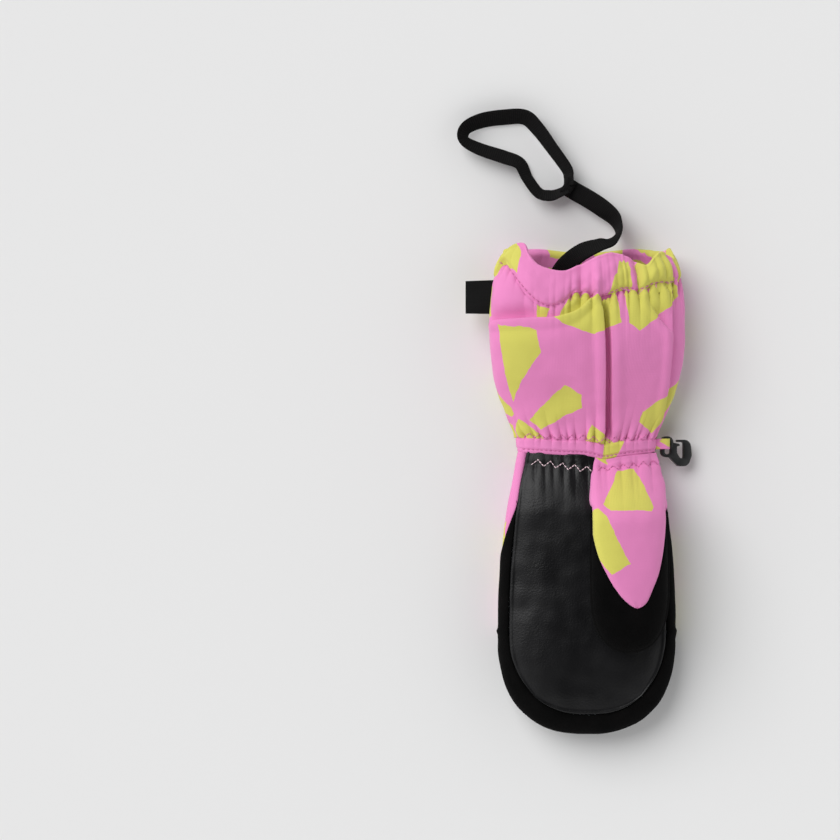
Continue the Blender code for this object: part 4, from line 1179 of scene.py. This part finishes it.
def alongCurve(values, t):
    # smooth curve through evenly spaced values
    values = np.array(values, float)
    last = len(values) - 1
    place = np.clip(t, 0, 1) * last
    i = np.minimum(place.astype(int), last - 1)
    f = (place - i)[:, None]
    a, b, c, d = values[np.maximum(i - 1, 0)], values[i], values[i + 1], values[np.minimum(i + 2, last)]
    square, cube = 2 * a - 5 * b + 4 * c - d, 3 * b - a - 3 * c + d
    return 0.5 * (2 * b + (c - a) * f + square * f ** 2 + cube * f ** 3)


def makeTape(name, node, route, leans, stepCount):
    # flat elastic along a route, with thin rounded selvedges
    t = np.linspace(0, 1, stepCount)
    centre = alongCurve(route, t)
    ahead = np.gradient(centre, axis=0)
    ahead /= np.linalg.norm(ahead, axis=1, keepdims=True)
    if np.ndim(leans) == 1:
        # how far the upper edge leans outwards for each unit of height
        out = np.interp(t, np.linspace(0, 1, len(leans)), leans)[:, None]
        lean = np.cross(ahead, (0, 0, 1)) * out + np.array((0, 0, 1.0))
    else:
        lean = alongCurve(leans, t)
    lean -= ahead * np.sum(lean * ahead, axis=1, keepdims=True)
    lean /= np.linalg.norm(lean, axis=1, keepdims=True)
    face = np.cross(ahead, lean)
    wide, thick = leashSet["width"], leashSet["thick"]
    foot = (np.abs(lean[:, 2]) * wide + np.abs(face[:, 2]) * thick) / 2 + leashSet["clear"]
    centre[:, 2] = np.maximum(centre[:, 2], foot)
    across = np.linspace(-0.5, 0.5, 13)[None, :, None]
    body = centre[:, None] + lean[:, None] * across * wide
    half = thick / 2 * (1 - (2 * np.abs(across)) ** 8 * 0.55)
    outer, inner = body + face[:, None] * half, body - face[:, None] * half
    length = lengthAlong(centre, 0)
    flat = np.stack([length[:, None] + 0 * across[..., 0], across[..., 0] * wide + 0 * length[:, None]], -1)
    made = sewSheet(name, outer, inner, "webbing", flat)
    dress(made, node)
    return made, centre, float(length[-1])


def makeBlock(name, node, turn):
    # webbing sewn flat on itself: a soft-edged pad with rows of thread
    low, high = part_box(node)
    middle = (low + high) / 2
    size = leashSet[node]
    bpy.ops.mesh.primitive_cube_add(size=1.0)
    made = bpy.context.object
    made.name = name
    mesh = bmesh.new()
    mesh.from_mesh(made.data)
    bmesh.ops.subdivide_edges(mesh, edges=mesh.edges[:], cuts=7, use_grid_fill=True)
    for vert in mesh.verts:
        q = vert.co * 2
        soft = 1 - 0.10 * max(abs(q.x), abs(q.y)) ** 6
        row = 0.06 * math.cos(q.y * 9.0) * (1 - abs(q.x) ** 6)
        vert.co = Vector((q.x * size[0] / 2 * (1 - 0.06 * q.y ** 6), q.y * size[1] / 2,
                          q.z * size[2] / 2 * (soft + row)))
    for face in mesh.faces:
        face.smooth = True
    mesh.to_mesh(made.data)
    spots = np.array([v.co for v in mesh.verts], np.float32)
    mesh.free()
    made.data.attributes.new("cloth", "FLOAT_VECTOR", "POINT").data.foreach_set("vector", spots.ravel())
    made.location = middle
    made.rotation_euler = (0, 0, turn)
    made.data.materials.append(finishes["webbing"])
    dress(made, node)
    return made


def makeLeash():
    bartack = makeBlock("leashBartack", "leash_bartack", math.radians(leashSet["bartackTurn"]))
    first, second = Vector(leashSet["strap"][0]), Vector(leashSet["strap"][1])
    makeBlock("leashAnchor", "leash_anchor", -math.atan2(second.x - first.x, second.y - first.y))
    strap, strapPath, strapLength = makeTape("leashStrap", "leash_strap", leashSet["strap"],
                                             leashSet["strapLean"], 120)
    loop, loopPath, loopLength = makeTape("leashLoop", "leash_loop", leashSet["loop"],
                                          leashSet["loopLean"], 220)
    print("leash laid:", round(strapLength, 3), round(loopLength, 3))


# threads: short stitches laid on the sewn pieces

threadSet = {
    # length of a stitch, gap to the next and radius of the thread
    "palm": (0.0016, 0.0004, 0.00026), "zigzag": (0.0016, 0.0004, 0.00024),
    "band": (0.0019, 0.0006, 0.00026), "hem": (0.0022, 0.0008, 0.00028),
    "bandY": 0.0811, "overSeam": 0.0016, "spots": 6, "sides": 6,
}


def surfaceTree(*objects):
    verts, faces = [], []
    for made in objects:
        base = len(verts)
        verts += [v.co.copy() for v in made.data.vertices]
        faces += [[base + i for i in p.vertices] for p in made.data.polygons]
    return BVHTree.FromPolygons(verts, faces)


def stitchRow(name, tree, path, finish, stitch, gap, radius, blended=False):
    # stitches dropped from above on to the cloth, each a short thread that dips in at both ends
    path = np.array(path, float)
    length = lengthAlong(path, 0)
    mesh = bmesh.new()
    start = 0.0
    while start + stitch < length[-1]:
        spots = []
        for f in np.linspace(0, 1, threadSet["spots"]):
            at = start + stitch * f
            x, y = np.interp(at, length, path[:, 0]), np.interp(at, length, path[:, 1])
            hit = tree.ray_cast(Vector((x, y, 0.2)), Vector((0, 0, -1)))
            if hit[0] is not None:
                spots.append(hit[0] + hit[1] * (radius * (1.5 * math.sin(math.pi * f) - 0.35)))
        if len(spots) == threadSet["spots"]:
            rings = []
            last = threadSet["spots"] - 1
            for i, spot in enumerate(spots):
                ahead = (spots[min(i + 1, last)] - spots[max(i - 1, 0)]).normalized()
                sideways = ahead.cross(Vector((0, 0, 1))).normalized()
                up = sideways.cross(ahead)
                size = radius * (0.55 if i in (0, last) else 1.0)
                rings.append([mesh.verts.new(spot + (sideways * math.cos(a) + up * math.sin(a)) * size)
                              for a in np.linspace(0, 2 * math.pi, threadSet["sides"] + 1)[:-1]])
            for a, b in zip(rings, rings[1:]):
                for i in range(threadSet["sides"]):
                    mesh.faces.new((a[i - 1], a[i], b[i], b[i - 1]))
            mesh.faces.new(rings[0][::-1])
            mesh.faces.new(rings[-1])
        start += stitch + gap
    for face in mesh.faces:
        face.smooth = True
    bmesh.ops.recalc_face_normals(mesh, faces=mesh.faces[:])
    data = bpy.data.meshes.new(name)
    mesh.to_mesh(data)
    mesh.free()
    data.materials.append(finishes[finish])
    made = bpy.data.objects.new(name, data)
    scene.collection.objects.link(made)
    if blended:
        turnsWithThumb(made)
    else:
        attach(made, "mitten")


def zigzag(start, end, count, height):
    # corner points of a zigzag in plan
    start, end = np.array(start), np.array(end)
    along = end - start
    up = np.array((-along[1], along[0])) / np.linalg.norm(along)
    corners = []
    for i in range(2 * count + 1):
        corners.append(start + along * i / (2 * count) + up * height * (0.5 if i % 2 else -0.5))
    return corners


def swayed(path):
    return [(x, y + float(sway(np.array(x), np.array(y)))) for x, y in path]


def makeThreads(palm, thumbTop, cuff, casing, band):
    rows = threadSet
    path = zigzag((-0.0316, 0.0757), (0.0030, 0.0711), 5, 0.0034)
    stitchRow("palmZigzag", surfaceTree(palm), path, "paleThread", *rows["palm"])
    path = swayed(zigzag((0.0055, 0.0728), (0.0405, 0.0742), 6, 0.0030))
    stitchRow("thumbZigzag", surfaceTree(thumbTop), path, "pinkThread", *rows["zigzag"], blended=True)
    path = swayed(zigzag((-0.036, 0.0893), (0.037, 0.0893), 12, 0.0030))
    stitchRow("cuffZigzag", surfaceTree(band, cuff), path, "pinkThread", *rows["zigzag"])
    path = swayed([(x / 1000, rows["bandY"]) for x in range(-37, 38)])
    stitchRow("bandTopstitch", surfaceTree(band), path, "pinkThread", *rows["band"])
    path = [(x / 1000, float(through(cuffSet["stitch"], np.array(float(x)))) / 1000 + rows["overSeam"])
            for x in range(-50, 52, 2)]
    stitchRow("hemTopstitch", surfaceTree(casing), path, "pinkThread", *rows["hem"])
    print("threads sewn")


makeStage()
makeLeash()
palm = makePalm()
makeHand()
makeLayers()
thumbTop = makeThumb()
cuff, casing, band = makeCuff()
makeLabel()
makeTab()
finishHook()
makeThreads(palm, thumbTop, cuff, casing, band)
